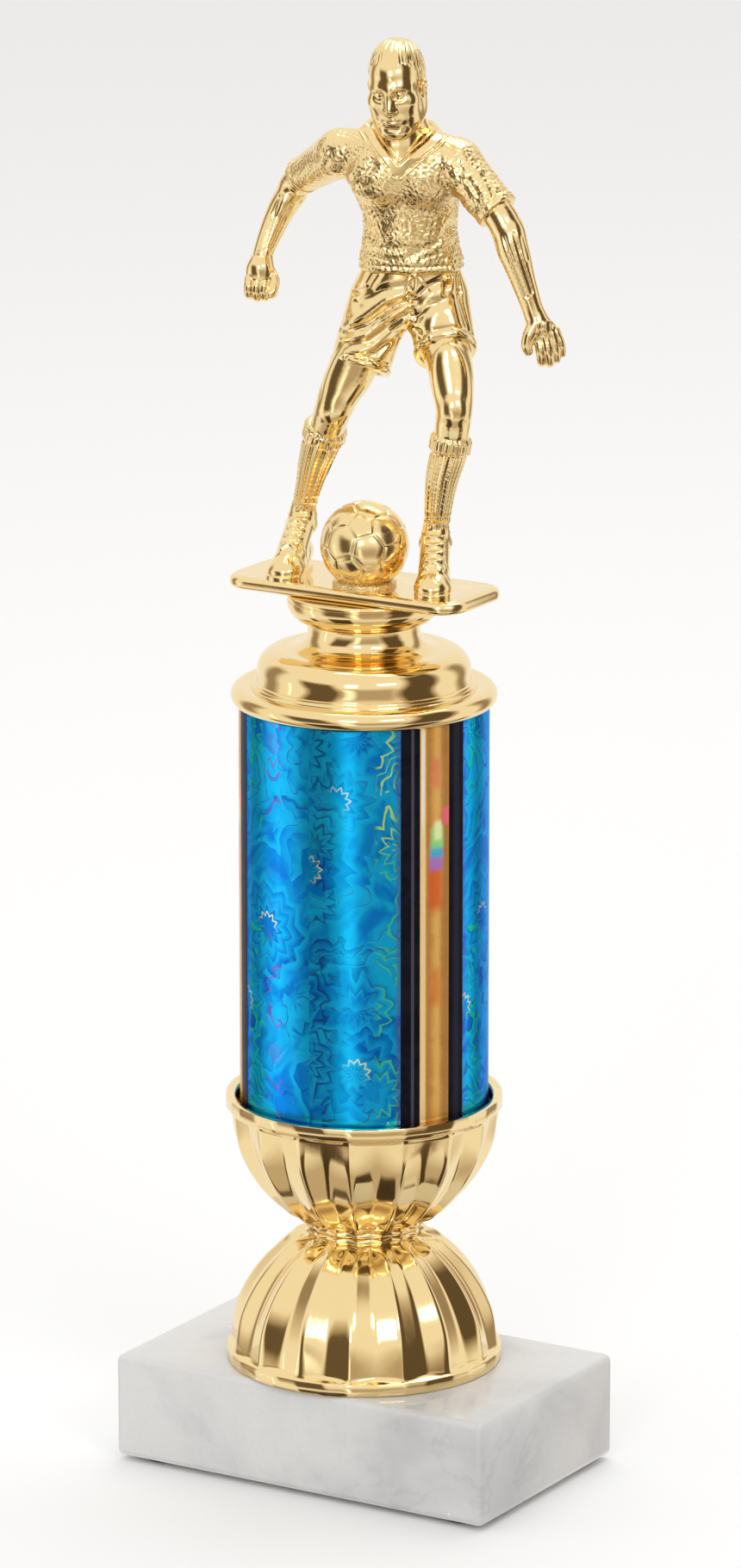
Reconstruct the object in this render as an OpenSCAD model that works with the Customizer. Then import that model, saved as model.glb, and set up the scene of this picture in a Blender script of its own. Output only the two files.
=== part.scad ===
// Column trophy with a football player on top, all dimensions in millimetres.
// Z points up from the underside of the felt pads, X runs along the marble's
// long side and the front faces -Y. Everything is threaded on one tie rod.

/* [Marble base] */
// Length of the marble along X
marble_length = 88; // [84:1:92]
// Depth of the marble along Y
marble_depth = 54; // [52:1:60]
// Height of the marble
marble_height = 22; // [18:1:26]
// Radius of the eased edges
marble_ease = 1.6; // [0.8:0.2:2.4]
// Thickness of the felt pads under the corners
pad_thickness = 1; // [0.5:0.5:2]
// Radius of a felt pad
pad_radius = 5; // [4:1:6]

/* [Riser bowls] */
// Radius of each bowl over its plain rim
bowl_radius = 28.5; // [28:0.5:30]
// Height of one bowl from rim to waist
bowl_height = 28.5; // [27:0.5:30]
// Radius of the waist where the two bowls meet
waist_radius = 12; // [11:0.5:13]
// Height of the plain band along the rim
rim_band = 2; // [1.5:0.5:3]
// Number of gadroons around a bowl
gadroon_count = 16; // [12:2:20]
// Depth of the groove between two gadroons
groove_depth = 1.4; // [0.6:0.2:1.4]

/* [Column] */
// Outer radius of the column with its film
column_radius = 25.5; // [25.4:0.1:25.8]
// Height of the column between the riser's rim and the lid
column_show = 82; // [60:1:140]
// Wall of the column's core tube
core_wall = 2.7; // [2:0.1:3]
// Thickness of the decorative film
film = 0.3; // [0.2:0.1:0.4]
// How deep the column stands in the riser's rim
socket_depth = 7; // [6:0.5:8]

/* [Lid] */
// Radius of the lid's brim
brim_radius = 27.1; // [26.8:0.1:28]
// Thickness of the brim
brim_height = 4; // [3.5:0.5:5]
// Largest radius of the lid's dome
dome_radius = 21.8; // [21:0.2:23]
// Height of the dome above the brim
dome_height = 7.5; // [7:0.1:9]
// Radius of the neck that carries the figure
neck_radius = 11.6; // [11:0.2:12]
// Height of the neck above the dome
neck_height = 5.6; // [5:0.1:7]

/* [Figure] */
// Length of the figure's plate along X
plate_length = 55; // [50:1:58]
// Depth of the figure's plate along Y
plate_depth = 23; // [22:1:26]
// Thickness of the plate
plate_height = 2.5; // [2.2:0.1:3]
// Largest radius of the boss under the plate
boss_radius = 15.6; // [15:0.2:17]
// Height of the boss
boss_height = 5.8; // [5.8:0.1:8]
// Radius of the ball
ball_radius = 9; // [8:0.2:9]
// Turn of the player away from the plate's front
player_turn = 31; // [26:1:34]

/* [Tie rod] */
// Radius over the rod's threads
rod_radius = 3; // [3:0.1:3.1]
// Running clearance between the rod and the figure's insert
running_gap = 0.05; // [0.03:0.01:0.1]
// Clearance of the holes that the rod passes through
rod_clearance = 0.5; // [0.3:0.1:0.6]
// Pitch of the rod's threads
thread_pitch = 1; // [0.8:0.2:1.2]

/* [Hidden] */
$fn = 96;
limb_fn = 14;
eps = 0.01;

// levels from the floor up
marble_top = pad_thickness + marble_height;
waist_z = marble_top + bowl_height;
riser_top = waist_z + bowl_height;
column_bottom = riser_top - socket_depth;
column_top = riser_top + column_show;
dome_foot = column_top + brim_height;
neck_foot = dome_foot + dome_height;
neck_top = neck_foot + neck_height;
seat_gap = 0.1;
boss_foot = neck_top + seat_gap;
plate_foot = boss_foot + boss_height;
plate_top = plate_foot + plate_height;

// fasteners: an M6 rod with a washer and a nut at each clamped face
nut_corner_radius = 5.77;
nut_height = 5;
jam_nut_height = 3.2;
washer_radius = 9;
lid_washer_radius = 6.5;
washer_height = 1.5;
lid_washer_height = 1;
counterbore_radius = 11;
counterbore_depth = 8;
rod_spare = 1;
hole_radius = rod_radius + rod_clearance;

// riser
bowl_rise = 30.3;
cavity_radius = 25;
cavity_rise = 27;
cavity_floor = 24.5;
socket_gap = 0.5;
rim_lip = 1.4;
spigot_radius = 7;
spigot_height = 2;
spigot_gap = 0.1;
bowl_sides = 64;
bowl_rings = 12;

// column film: three repeats of a blue panel and a black, gold, black band
film_repeats = 3;
blue_span = 85.5;
black_span = 9.25;
gold_span = 16;
band_centre = -24.7;
film_foot = riser_top - 5;

// lid
lid_wall = 2;
lid_spigot = 6;
spigot_clearance = 0.3;
nut_pocket_radius = 7;
nut_pocket_depth = 4.8;

// figure: the insert, the plate and the plane where the two halves meet
insert_corner_radius = 6;
insert_gap = 0.1;
insert_height = 5.4;
plate_corner = 6;
plate_ease = 0.8;
parting_y = 1;
arm_parting_y = 4.4;
arm_step_x = 17;
arm_step_z = 45;
collar_radius = 6.5;
collar_height = 1;
ball_x = 2.2;
ball_y = -3.4;
ball_sink = 1.8;
rod_top = boss_foot + insert_height - 0.6;
rod_foot = pad_thickness + counterbore_depth - washer_height - nut_height - rod_spare / 2;

// the player's joints: to the viewer's right, away from the viewer, above the plate
head = [6.5, -8, 101.8];
throat = [6.8, -4.5, 88];
chest = [7.9, -2.5, 79];
belly = [9.3, -0.5, 69];
pelvis = [9.2, 1, 59];
right_shoulder = [-4.4, 0.5, 86];
right_elbow = [-13.6, 13.3, 79];
right_wrist = [-20.3, 9, 64.8];
right_fist = [-20.6, 7, 59.2];
left_shoulder = [18.3, -5.5, 85.8];
left_elbow = [27.4, -12.4, 76];
left_wrist = [33.2, -15.5, 59];
left_hand = [36.6, -16, 50.2];
right_hip = [4.4, 2, 56];
right_leg_hole = [-1.5, 0.5, 45];
right_knee = [-6.6, 0.5, 34];
right_cuff = [-8, 4, 29.5];
right_ankle = [-12.4, 12.4, 12];
right_heel = [-12.6, 13.2, 3.8];
right_toe = [-16.4, 2.4, 2.3];
left_hip = [14.2, 0, 56];
left_leg_hole = [16.8, -5.4, 47];
left_knee = [18, -9.6, 37];
left_cuff = [17.2, -8, 29.5];
left_ankle = [14.6, -5.2, 12];
left_heel = [14.3, -3.8, 3.8];
left_toe = [13.7, -13.6, 2.1];

// points of an arc from angle a0 to angle a1
function arc(centre, r, a0, a1, steps = 6) =
    [for (i = [0:steps])
        centre + r * [cos(a0 + (a1 - a0) * i / steps), sin(a0 + (a1 - a0) * i / steps)]];

// outline of a rectangle with round corners, centred on the origin
function round_rect(w, h, r, steps = 5) = concat(
    arc([w / 2 - r, h / 2 - r], r, 0, 90, steps),
    arc([r - w / 2, h / 2 - r], r, 90, 180, steps),
    arc([r - w / 2, r - h / 2], r, 180, 270, steps),
    arc([w / 2 - r, r - h / 2], r, 270, 360, steps));

// radius of a bowl at a height above its rim, following a quarter ellipse
function bowl_r(h) = max(waist_radius, bowl_radius * sqrt(max(0, 1 - pow(h / bowl_rise, 2))));

// share of the full groove: none on the rim band, all of it from a third of the way up
function groove_share(h) = min(1, max(0, (h - rim_band) / (bowl_height / 3)));

// depth of the flute at one angle, deepest between two gadroons
function flute(angle) = pow(abs(cos(angle * gadroon_count / 2)), 6);

// a fluted bowl shape, rim at z = 0 and waist at the top
module fluted_blank() {
    heights = concat([0, rim_band], [for (i = [1:bowl_rings])
        rim_band + (bowl_height - rim_band) * sin(90 * i / bowl_rings)]);
    rings = len(heights);
    points = [for (h = heights, k = [0:bowl_sides - 1])
        let (angle = 360 * k / bowl_sides, r = bowl_r(h) - groove_depth * groove_share(h) * flute(angle))
        [r * cos(angle), r * sin(angle), h]];
    sides = [for (j = [0:rings - 2], k = [0:bowl_sides - 1])
        let (n = (k + 1) % bowl_sides, low = j * bowl_sides, high = low + bowl_sides)
        [low + k, high + k, high + n, low + n]];
    foot = [[for (k = [0:bowl_sides - 1]) k]];
    roof = [[for (k = [bowl_sides - 1:-1:0]) (rings - 1) * bowl_sides + k]];
    polyhedron(points, concat(foot, sides, roof), convexity = 4);
}

// the hollow of a bowl, open at z = 0
module bowl_cavity(r, rise, depth) {
    steps = 10;
    rotate_extrude()
        polygon(concat([[0, -eps], [r, -eps]],
            [for (i = [0:steps]) let (h = depth * i / steps) [r * sqrt(1 - pow(h / rise, 2)), h]],
            [[0, depth]]));
}

module ring(inner, outer, height) {
    difference() {
        cylinder(r = outer, h = height);
        translate([0, 0, -1]) cylinder(r = inner, h = height + 2);
    }
}

module hex_nut(corner_radius, height, bore) {
    difference() {
        cylinder(r = corner_radius, h = height, $fn = 6);
        translate([0, 0, -1]) cylinder(r = bore, h = height + 2);
    }
}

// zigzag outline of a length of thread, from the core out to the crests
function thread_outline(z0, z1) =
    let (root = rod_radius - 0.6 * thread_pitch, turns = floor((z1 - z0) / thread_pitch))
    [for (i = [0:turns - 1], step = [0, 1, 2])
        [step == 0 ? root : rod_radius, z0 + (i + [0, 0.35, 0.65][step]) * thread_pitch]];

// one arc of the column's film
module film_arc(start, span) {
    translate([0, 0, film_foot])
        rotate([0, 0, start])
            rotate_extrude(angle = span)
                translate([column_radius - film, 0])
                    square([film, column_top - film_foot]);
}

// a rounded limb between two joints
module limb(a, ra, b, rb) {
    hull() {
        translate(a) sphere(r = ra, $fn = limb_fn);
        translate(b) sphere(r = rb, $fn = limb_fn);
    }
}

// an ellipsoid turned about the viewing direction
module lump(centre, radii, tilt = 0) {
    translate(centre) rotate([0, tilt, 0]) scale(radii) sphere(r = 1, $fn = limb_fn);
}

module player_head() {
    lump(head, [5.9, 7.4, 9.9]);
    limb(throat, 4, head - [0, -1, 5], 3.6);
}

module player_body() {
    lump(chest, [11.4, 6.6, 9.6]);
    lump(belly, [9.8, 6.2, 8.4]);
    hull() {
        lump(pelvis, [10.8, 6.6, 5.5]);
        lump(belly + [0.4, 0.5, -5], [10, 6.2, 3]);
    }
    limb(right_shoulder, 4.4, throat - [3, 0, 1], 3.4);
    limb(left_shoulder, 4.8, throat + [3, 0, -1], 3.4);
}

module player_arms() {
    limb(right_shoulder, 4.8, right_elbow, 4);
    limb(right_elbow, 3.3, right_wrist, 2.2);
    limb(right_wrist, 2.2, right_fist, 3.4);
    limb(left_shoulder, 5, left_elbow, 4.1);
    limb(left_elbow, 3.3, left_wrist, 2.4);
    limb(left_wrist, 2.4, left_hand, 2.9);
}

module player_legs() {
    limb(right_hip, 6.3, right_leg_hole, 6);
    limb(right_leg_hole, 4.8, right_knee, 4);
    limb(right_knee, 4, right_cuff, 4.4);
    limb(right_cuff, 4.4, right_ankle, 2.5);
    limb(right_ankle, 2.5, right_heel, 3.3);
    limb(right_heel, 3.4, right_toe, 3);
    limb(left_hip, 6.3, left_leg_hole, 5.8);
    limb(left_leg_hole, 4.6, left_knee, 4);
    limb(left_knee, 4, left_cuff, 4.2);
    limb(left_cuff, 4.2, left_ankle, 2.5);
    limb(left_ankle, 2.5, left_heel, 3.3);
    limb(left_heel, 3.4, left_toe, 2.9);
}

// the player and the plate as one shape, before it is parted
module figure_whole() {
    difference() {
        translate([0, 0, plate_top])
            rotate([0, 0, player_turn]) {
                player_head();
                player_body();
                player_arms();
                player_legs();
            }
        translate([-plate_length, -plate_length, plate_foot - plate_length])
            cube([2 * plate_length, 2 * plate_length, plate_length + plate_height / 2]);
        ball_space();
    }
    figure_plate();
}

module figure_plate() {
    translate([0, 0, plate_foot])
        linear_extrude(plate_height - plate_ease)
            polygon(round_rect(plate_length, plate_depth, plate_corner));
    translate([0, 0, plate_foot])
        linear_extrude(plate_height)
            polygon(round_rect(plate_length - 2 * plate_ease, plate_depth - 2 * plate_ease,
                plate_corner - plate_ease));
}

// room for the ball, so that no leg touches it
module ball_space() {
    translate([ball_x, ball_y, plate_top + collar_height + ball_radius - ball_sink])
        sphere(r = ball_radius + 0.2, $fn = 32);
}

module marble_base() {
    color("whitesmoke")
        translate([0, 0, pad_thickness])
            difference() {
                translate([0, 0, marble_height / 2])
                    intersection() {
                        linear_extrude(marble_height, center = true)
                            polygon(round_rect(marble_length, marble_depth, marble_ease));
                        rotate([90, 0, 0])
                            linear_extrude(marble_depth, center = true)
                                polygon(round_rect(marble_length, marble_height, marble_ease));
                        rotate([90, 0, 90])
                            linear_extrude(marble_length, center = true)
                                polygon(round_rect(marble_depth, marble_height, marble_ease));
                    }
                translate([0, 0, -1]) cylinder(r = hole_radius, h = marble_height + 2);
                translate([0, 0, -1]) cylinder(r = counterbore_radius, h = counterbore_depth + 1);
            }
}

module felt_pads() {
    pad_x = marble_length / 2 - pad_radius - 3;
    pad_y = marble_depth / 2 - pad_radius - 3;
    color("dimgray")
        for (x = [-pad_x, pad_x], y = [-pad_y, pad_y])
            translate([x, y, 0]) cylinder(r = pad_radius, h = pad_thickness);
}

module tie_rod() {
    thread_low = 12;
    thread_high = 16;
    root = rod_radius - 0.6 * thread_pitch;
    color("silver")
        rotate_extrude()
            polygon(concat([[0, rod_foot], [root, rod_foot]],
                thread_outline(rod_foot, rod_foot + thread_low),
                [[rod_radius, rod_foot + thread_low], [rod_radius, rod_top - thread_high]],
                thread_outline(rod_top - thread_high, rod_top),
                [[root, rod_top], [0, rod_top]]));
}

module bottom_washer() {
    color("silver")
        translate([0, 0, pad_thickness + counterbore_depth - washer_height])
            ring(hole_radius, washer_radius, washer_height);
}

module bottom_nut() {
    color("silver")
        translate([0, 0, pad_thickness + counterbore_depth - washer_height - nut_height])
            hex_nut(nut_corner_radius, nut_height, rod_radius);
}

module lower_bowl() {
    color("goldenrod")
        translate([0, 0, marble_top])
            difference() {
                fluted_blank();
                bowl_cavity(cavity_radius + 1, cavity_rise, cavity_floor);
                translate([0, 0, -1]) cylinder(r = hole_radius, h = bowl_height + 2);
                translate([0, 0, bowl_height - spigot_height - spigot_gap])
                    cylinder(r = spigot_radius + spigot_gap, h = bowl_height);
            }
}

module upper_bowl() {
    color("goldenrod")
        difference() {
            union() {
                translate([0, 0, riser_top]) mirror([0, 0, 1]) fluted_blank();
                translate([0, 0, waist_z - spigot_height])
                    cylinder(r = spigot_radius, h = spigot_height + 1);
            }
            translate([0, 0, riser_top])
                mirror([0, 0, 1]) bowl_cavity(cavity_radius, cavity_rise, cavity_floor);
            translate([0, 0, column_bottom]) cylinder(r = column_radius + socket_gap, h = socket_depth + 1);
            translate([0, 0, riser_top - rim_lip])
                cylinder(r1 = column_radius + socket_gap, r2 = column_radius + rim_lip, h = rim_lip + eps);
            translate([0, 0, waist_z - bowl_height]) cylinder(r = hole_radius, h = 2 * bowl_height);
        }
}

module column_core() {
    color("tan")
        translate([0, 0, column_bottom])
            ring(column_radius - film - core_wall, column_radius - film, column_top - column_bottom);
}

module blue_foil() {
    band_span = 2 * black_span + gold_span;
    color("dodgerblue")
        for (i = [0:film_repeats - 1])
            film_arc(band_centre + band_span / 2 + i * 360 / film_repeats, blue_span);
}

module black_stripes() {
    color("black")
        for (i = [0:film_repeats - 1], side = [-1, 1])
            film_arc(band_centre + side * (gold_span + black_span) / 2 - black_span / 2
                + i * 360 / film_repeats, black_span);
}

module gold_stripes() {
    color("peru")
        for (i = [0:film_repeats - 1])
            film_arc(band_centre - gold_span / 2 + i * 360 / film_repeats, gold_span);
}

module column_lid() {
    edge = brim_height / 2;
    shoulder = 4.2;
    step = 1;
    inner = column_radius - film - core_wall - spigot_clearance;
    floor_z = neck_top - nut_pocket_depth - lid_wall;
    profile = concat(
        [[inner - lid_wall, column_top - lid_spigot], [inner, column_top - lid_spigot], [inner, column_top]],
        arc([brim_radius - edge, column_top + edge], edge, -90, 90, 8),
        [[dome_radius + step, dome_foot], [dome_radius + step, dome_foot + step / 2]],
        [[dome_radius + step / 2, dome_foot + step / 2], [dome_radius, dome_foot + step]],
        arc([dome_radius - shoulder, neck_foot - shoulder], shoulder, 0, 90, 8),
        [[neck_radius + step, neck_foot], [neck_radius, neck_foot + step], [neck_radius, neck_top]],
        [[nut_pocket_radius, neck_top], [nut_pocket_radius, neck_top - nut_pocket_depth]],
        [[hole_radius, neck_top - nut_pocket_depth], [hole_radius, floor_z]],
        [[nut_pocket_radius + lid_wall, floor_z], [inner - lid_wall, column_top + lid_wall]]);
    color("goldenrod")
        rotate_extrude() polygon(profile);
}

module lid_washer() {
    color("silver")
        translate([0, 0, neck_top - nut_pocket_depth])
            ring(rod_radius + running_gap, lid_washer_radius, lid_washer_height);
}

module lid_nut() {
    color("silver")
        translate([0, 0, neck_top - nut_pocket_depth + lid_washer_height])
            hex_nut(nut_corner_radius, jam_nut_height, rod_radius);
}

module figure_boss() {
    flare = boss_radius - neck_radius;
    rim_ease = 0.6;
    profile = concat(
        [[0, boss_foot]],
        arc([neck_radius, boss_foot + flare], flare, -90, 0, 8),
        [[boss_radius, plate_foot - rim_ease], [boss_radius - rim_ease, plate_foot], [0, plate_foot]]);
    color("goldenrod")
        difference() {
            rotate_extrude() polygon(profile);
            translate([0, 0, boss_foot - 1])
                cylinder(r = insert_corner_radius + insert_gap, h = insert_height + 1, $fn = 6);
        }
}

module boss_insert() {
    color("gold")
        translate([0, 0, boss_foot])
            hex_nut(insert_corner_radius, insert_height, rod_radius + running_gap);
}

module ball() {
    color("goldenrod")
        translate([ball_x, ball_y, plate_top]) {
            cylinder(r = collar_radius, h = collar_height);
            difference() {
                translate([0, 0, collar_height + ball_radius - ball_sink]) sphere(r = ball_radius);
                translate([-ball_radius, -ball_radius, -ball_radius])
                    cube([2 * ball_radius, 2 * ball_radius, ball_radius + collar_height / 2]);
            }
        }
}

// everything in front of the parting, which steps back along the left arm
module front_space() {
    side = 2 * marble_length;
    translate([-side / 2, parting_y - side, 0]) cube([side, side, 4 * marble_length]);
    translate([arm_step_x, arm_parting_y - side, plate_top + arm_step_z])
        cube([side, side, 2 * marble_length]);
}

module figure_front() {
    color("goldenrod")
        intersection() {
            figure_whole();
            front_space();
        }
}

module figure_back() {
    color("goldenrod")
        difference() {
            figure_whole();
            front_space();
        }
}

marble_base();
felt_pads();
tie_rod();
bottom_washer();
bottom_nut();
lower_bowl();
upper_bowl();
column_core();
blue_foil();
black_stripes();
gold_stripes();
column_lid();
lid_washer();
lid_nut();
figure_boss();
boss_insert();
ball();
figure_front();
figure_back();
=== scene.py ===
import math
import time

import bmesh
import bpy
import numpy as np
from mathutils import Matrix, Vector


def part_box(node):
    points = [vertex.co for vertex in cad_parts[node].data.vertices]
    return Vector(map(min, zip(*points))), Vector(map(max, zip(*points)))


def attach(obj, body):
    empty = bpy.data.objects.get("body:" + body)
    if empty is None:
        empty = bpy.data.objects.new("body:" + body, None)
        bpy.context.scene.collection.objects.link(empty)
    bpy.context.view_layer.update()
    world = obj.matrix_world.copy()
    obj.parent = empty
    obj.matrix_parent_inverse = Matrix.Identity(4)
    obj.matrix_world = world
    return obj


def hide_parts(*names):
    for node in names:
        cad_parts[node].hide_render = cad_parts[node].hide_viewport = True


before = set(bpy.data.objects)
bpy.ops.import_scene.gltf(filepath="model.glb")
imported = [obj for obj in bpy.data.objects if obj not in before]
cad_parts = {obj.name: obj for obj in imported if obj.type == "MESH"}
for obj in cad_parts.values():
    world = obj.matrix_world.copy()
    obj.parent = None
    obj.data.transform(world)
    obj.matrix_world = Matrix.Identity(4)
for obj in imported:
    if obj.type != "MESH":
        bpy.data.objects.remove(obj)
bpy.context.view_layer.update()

import openvdb
from mathutils import Matrix, Vector

startTime = time.time()
mm = 0.001
turnRad = math.radians(31)  # the player's turn about the column, close to the camera's azimuth


def report(stage):
    print(f"[{time.time() - startTime:6.1f} s] {stage}")


camera = {
    "azimuth": 31.07, "elevation": 14.39, "distance": 1607.4, "aimHeight": 144.9,
    "sideStep": 1.3, "lens": 181.42, "sensor": 36.0, "clip": (0.05, 20),
}


def makeCamera(c):
    azimuth = math.radians(c["azimuth"])
    elevation = math.radians(c["elevation"])
    back = Vector((math.sin(azimuth) * math.cos(elevation), -math.cos(azimuth) * math.cos(elevation),
                   math.sin(elevation)))
    right = Vector((math.cos(azimuth), math.sin(azimuth), 0))
    data = bpy.data.cameras.new("camera")
    data.lens = c["lens"]
    data.sensor_width = c["sensor"]
    data.clip_start, data.clip_end = c["clip"]
    cam = bpy.data.objects.new("camera", data)
    aim = Vector((0, 0, c["aimHeight"] * mm)) + right * c["sideStep"] * mm
    cam.location = aim + back * c["distance"] * mm
    cam.rotation_euler = (-back).to_track_quat("-Z", "Y").to_euler()
    bpy.context.scene.collection.objects.link(cam)
    bpy.context.scene.camera = cam


floor = {"size": 16.0, "colour": (0.93, 0.935, 0.94), "roughness": 0.9, "gloss": 0.1}


def makeFloor(f):
    mesh = bpy.data.meshes.new("floor")
    half = f["size"] / 2
    mesh.from_pydata([(-half, -half, 0), (half, -half, 0), (half, half, 0), (-half, half, 0)], [], [(0, 1, 2, 3)])
    obj = bpy.data.objects.new("floor", mesh)
    bpy.context.scene.collection.objects.link(obj)
    material = bpy.data.materials.new("paleFloor")
    material.use_nodes = True
    shader = material.node_tree.nodes["Principled BSDF"]
    for label, value in (("Base Color", (*f["colour"], 1)), ("Roughness", f["roughness"]),
                         ("Specular IOR Level", f["gloss"])):
        shader.inputs[label].default_value = value
    mesh.materials.append(material)
    obj.visible_glossy = False  # metal reflects the studio instead of an endless floor


def setInputs(tree, node, inputs):
    # each input is either linked to a socket or given a plain value
    for key, value in inputs.items():
        if isinstance(value, bpy.types.NodeSocket):
            tree.links.new(value, node.inputs[key])
        else:
            node.inputs[key].default_value = value


def put(tree, kind, inputs=None, **settings):
    node = tree.nodes.new("ShaderNode" + kind)
    for key, value in settings.items():
        setattr(node, key, value)
    setInputs(tree, node, inputs or {})
    return node


def calc(tree, operation, *values, clamp=False):
    return put(tree, "Math", dict(enumerate(values)), operation=operation, use_clamp=clamp).outputs[0]


def times(tree, a, b):
    return calc(tree, "MULTIPLY", a, b)


def plus(tree, a, b):
    return calc(tree, "ADD", a, b)


def minus(tree, a, b):
    return calc(tree, "SUBTRACT", a, b)


def vectorMath(tree, operation, *values, result=0, **inputs):
    return put(tree, "VectorMath", {**dict(enumerate(values)), **inputs}, operation=operation).outputs[result]


def noise(tree, place, scale, detail, rough=0.5, distort=0.0, dimensions="3D"):
    inputs = {"Vector": place, "Scale": scale, "Detail": detail, "Roughness": rough, "Distortion": distort}
    return put(tree, "TexNoise", inputs, noise_dimensions=dimensions).outputs


def objectPlace(tree):
    return put(tree, "TexCoord").outputs["Object"]


def blendColour(tree, factor, low, high):
    ends = [value if isinstance(value, bpy.types.NodeSocket) else (*value, 1) for value in (low, high)]
    return put(tree, "Mix", {"Factor": factor, 6: ends[0], 7: ends[1]}, data_type="RGBA").outputs[2]


def ease(tree, value, low, high):
    return put(tree, "MapRange", {"Value": value, "From Min": low, "From Max": high},
               interpolation_type="SMOOTHSTEP").outputs[0]


def newGroup(name, sockets, results):
    group = bpy.data.node_groups.new(name, "ShaderNodeTree")
    for label, value in sockets:
        kind = "NodeSocketVector" if value == "vector" else "NodeSocketFloat"
        socket = group.interface.new_socket(label, in_out="INPUT", socket_type=kind)
        if value != "vector":
            socket.default_value = value
    for label, kind in results:
        group.interface.new_socket(label, in_out="OUTPUT", socket_type="NodeSocket" + kind)
    return group, group.nodes.new("NodeGroupInput").outputs, group.nodes.new("NodeGroupOutput").inputs


def giveOut(group, out, **values):
    for label, value in values.items():
        group.links.new(value, out[label])
    return group


def placed(tree, group, **values):
    node = tree.nodes.new("ShaderNodeGroup")
    node.node_tree = group
    setInputs(tree, node, values)
    return node.outputs


# the studio: soft patches of light and shade all round the object, in degrees, turned from the camera's side
studio = {
    "plain": 0.96, "warm": (1.0, 0.70, 0.40), "paper": (1, 0.995, 0.985),
    "patches": [
        # turn and half width, lift and half height, soft edge, lean of the upright edges, brightness
        {"turn": -48, "half": 25, "lift": 2, "rise": 26, "soft": 11, "slant": 0.35, "value": 0.14},
        {"turn": 62, "half": 27, "lift": 14, "rise": 46, "soft": 12, "slant": -0.3, "value": 0.12},
        {"turn": 7, "half": 36, "lift": -10, "rise": 22, "soft": 16, "value": 0.50},
        {"turn": 5, "half": 110, "lift": -62, "rise": 30, "soft": 16, "value": 0.56},
        {"turn": -43, "half": 21, "lift": -58, "rise": 30, "soft": 4, "slant": 0.06, "value": 0.10},
        {"turn": 65, "half": 19, "lift": -58, "rise": 28, "soft": 4, "slant": -0.1, "value": 0.12},
        {"turn": -98, "half": 9, "lift": -56, "rise": 22, "soft": 4, "value": 0.14},
        {"turn": 118, "half": 10, "lift": -56, "rise": 22, "soft": 4, "value": 0.14},
        {"turn": -16, "half": 8, "lift": -12, "rise": 15, "soft": 7, "slant": 0.2, "value": 2.6},
        {"turn": -86, "half": 1.8, "lift": -14, "rise": 15, "soft": 2, "value": 2.6},
        {"turn": 128, "half": 16, "lift": 5, "rise": 34, "soft": 12, "value": 0.35},
        {"turn": -118, "half": 18, "lift": 5, "rise": 34, "soft": 12, "value": 0.35},
    ],
    "lampAim": 0.15,
    "lamps": [
        {"name": "keyBox", "turn": -14, "lift": 22, "far": 1.3, "wide": 0.26, "tall": 0.34, "power": 1.5},
        {"name": "fillBox", "turn": 26, "lift": 30, "far": 1.3, "wide": 0.40, "tall": 0.20, "power": 1.3},
        {"name": "topBox", "turn": 150, "lift": 72, "far": 1.4, "wide": 0.9, "tall": 0.9, "power": 5},
    ],
}


def studioDirection(turn, lift):
    azimuth = math.radians(camera["azimuth"] + turn)
    lift = math.radians(lift)
    return Vector((math.sin(azimuth) * math.cos(lift), -math.cos(azimuth) * math.cos(lift), math.sin(lift)))


def makeStudio(s):
    world = bpy.data.worlds.new("studio")
    bpy.context.scene.world = world
    world.use_nodes = True
    tree = world.node_tree
    tree.nodes.clear()
    where = put(tree, "TexCoord").outputs["Generated"]
    turned = put(tree, "VectorRotate", {"Vector": where, "Angle": -math.radians(camera["azimuth"])},
                 rotation_type="Z_AXIS").outputs[0]
    x, y, z = put(tree, "SeparateXYZ", {0: turned}).outputs
    azimuth = times(tree, calc(tree, "ARCTAN2", x, times(tree, y, -1.0)), 180 / math.pi)
    height = times(tree, calc(tree, "ARCSINE", z), 180 / math.pi)
    level = s["plain"]
    for patch in s["patches"]:
        leaned = plus(tree, azimuth, times(tree, height, patch.get("slant", 0.0)))
        aside = calc(tree, "ABSOLUTE", minus(tree, leaned, patch["turn"]))
        above = calc(tree, "ABSOLUTE", minus(tree, height, patch["lift"]))
        maskA = calc(tree, "DIVIDE", minus(tree, patch["half"], aside), patch["soft"], clamp=True)
        maskB = calc(tree, "DIVIDE", minus(tree, patch["rise"], above), patch["soft"], clamp=True)
        drop = minus(tree, 1.0, times(tree, times(tree, maskA, maskB), 1 - patch["value"] / s["plain"]))
        level = times(tree, level, drop)
    # the dim parts of the room are warmer than the lit paper
    tint = blendColour(tree, calc(tree, "DIVIDE", level, s["plain"], clamp=True), s["warm"], s["paper"])
    background = put(tree, "Background", {"Strength": level, "Color": tint})
    put(tree, "OutputWorld", {0: background.outputs[0]})
    for lamp in s["lamps"]:
        data = bpy.data.lights.new(lamp["name"], "AREA")
        data.shape = "RECTANGLE"
        data.size, data.size_y = lamp["wide"], lamp["tall"]
        data.energy = lamp["power"]
        obj = bpy.data.objects.new(lamp["name"], data)
        direction = studioDirection(lamp["turn"], lamp["lift"])
        obj.location = Vector((0, 0, s["lampAim"])) + direction * lamp["far"]
        obj.rotation_euler = direction.to_track_quat("Z", "Y").to_euler()
        bpy.context.scene.collection.objects.link(obj)


makeCamera(camera)
makeFloor(floor)
makeStudio(studio)
bpy.context.scene.view_settings.view_transform = "Standard"
report("camera, floor and studio")


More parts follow.
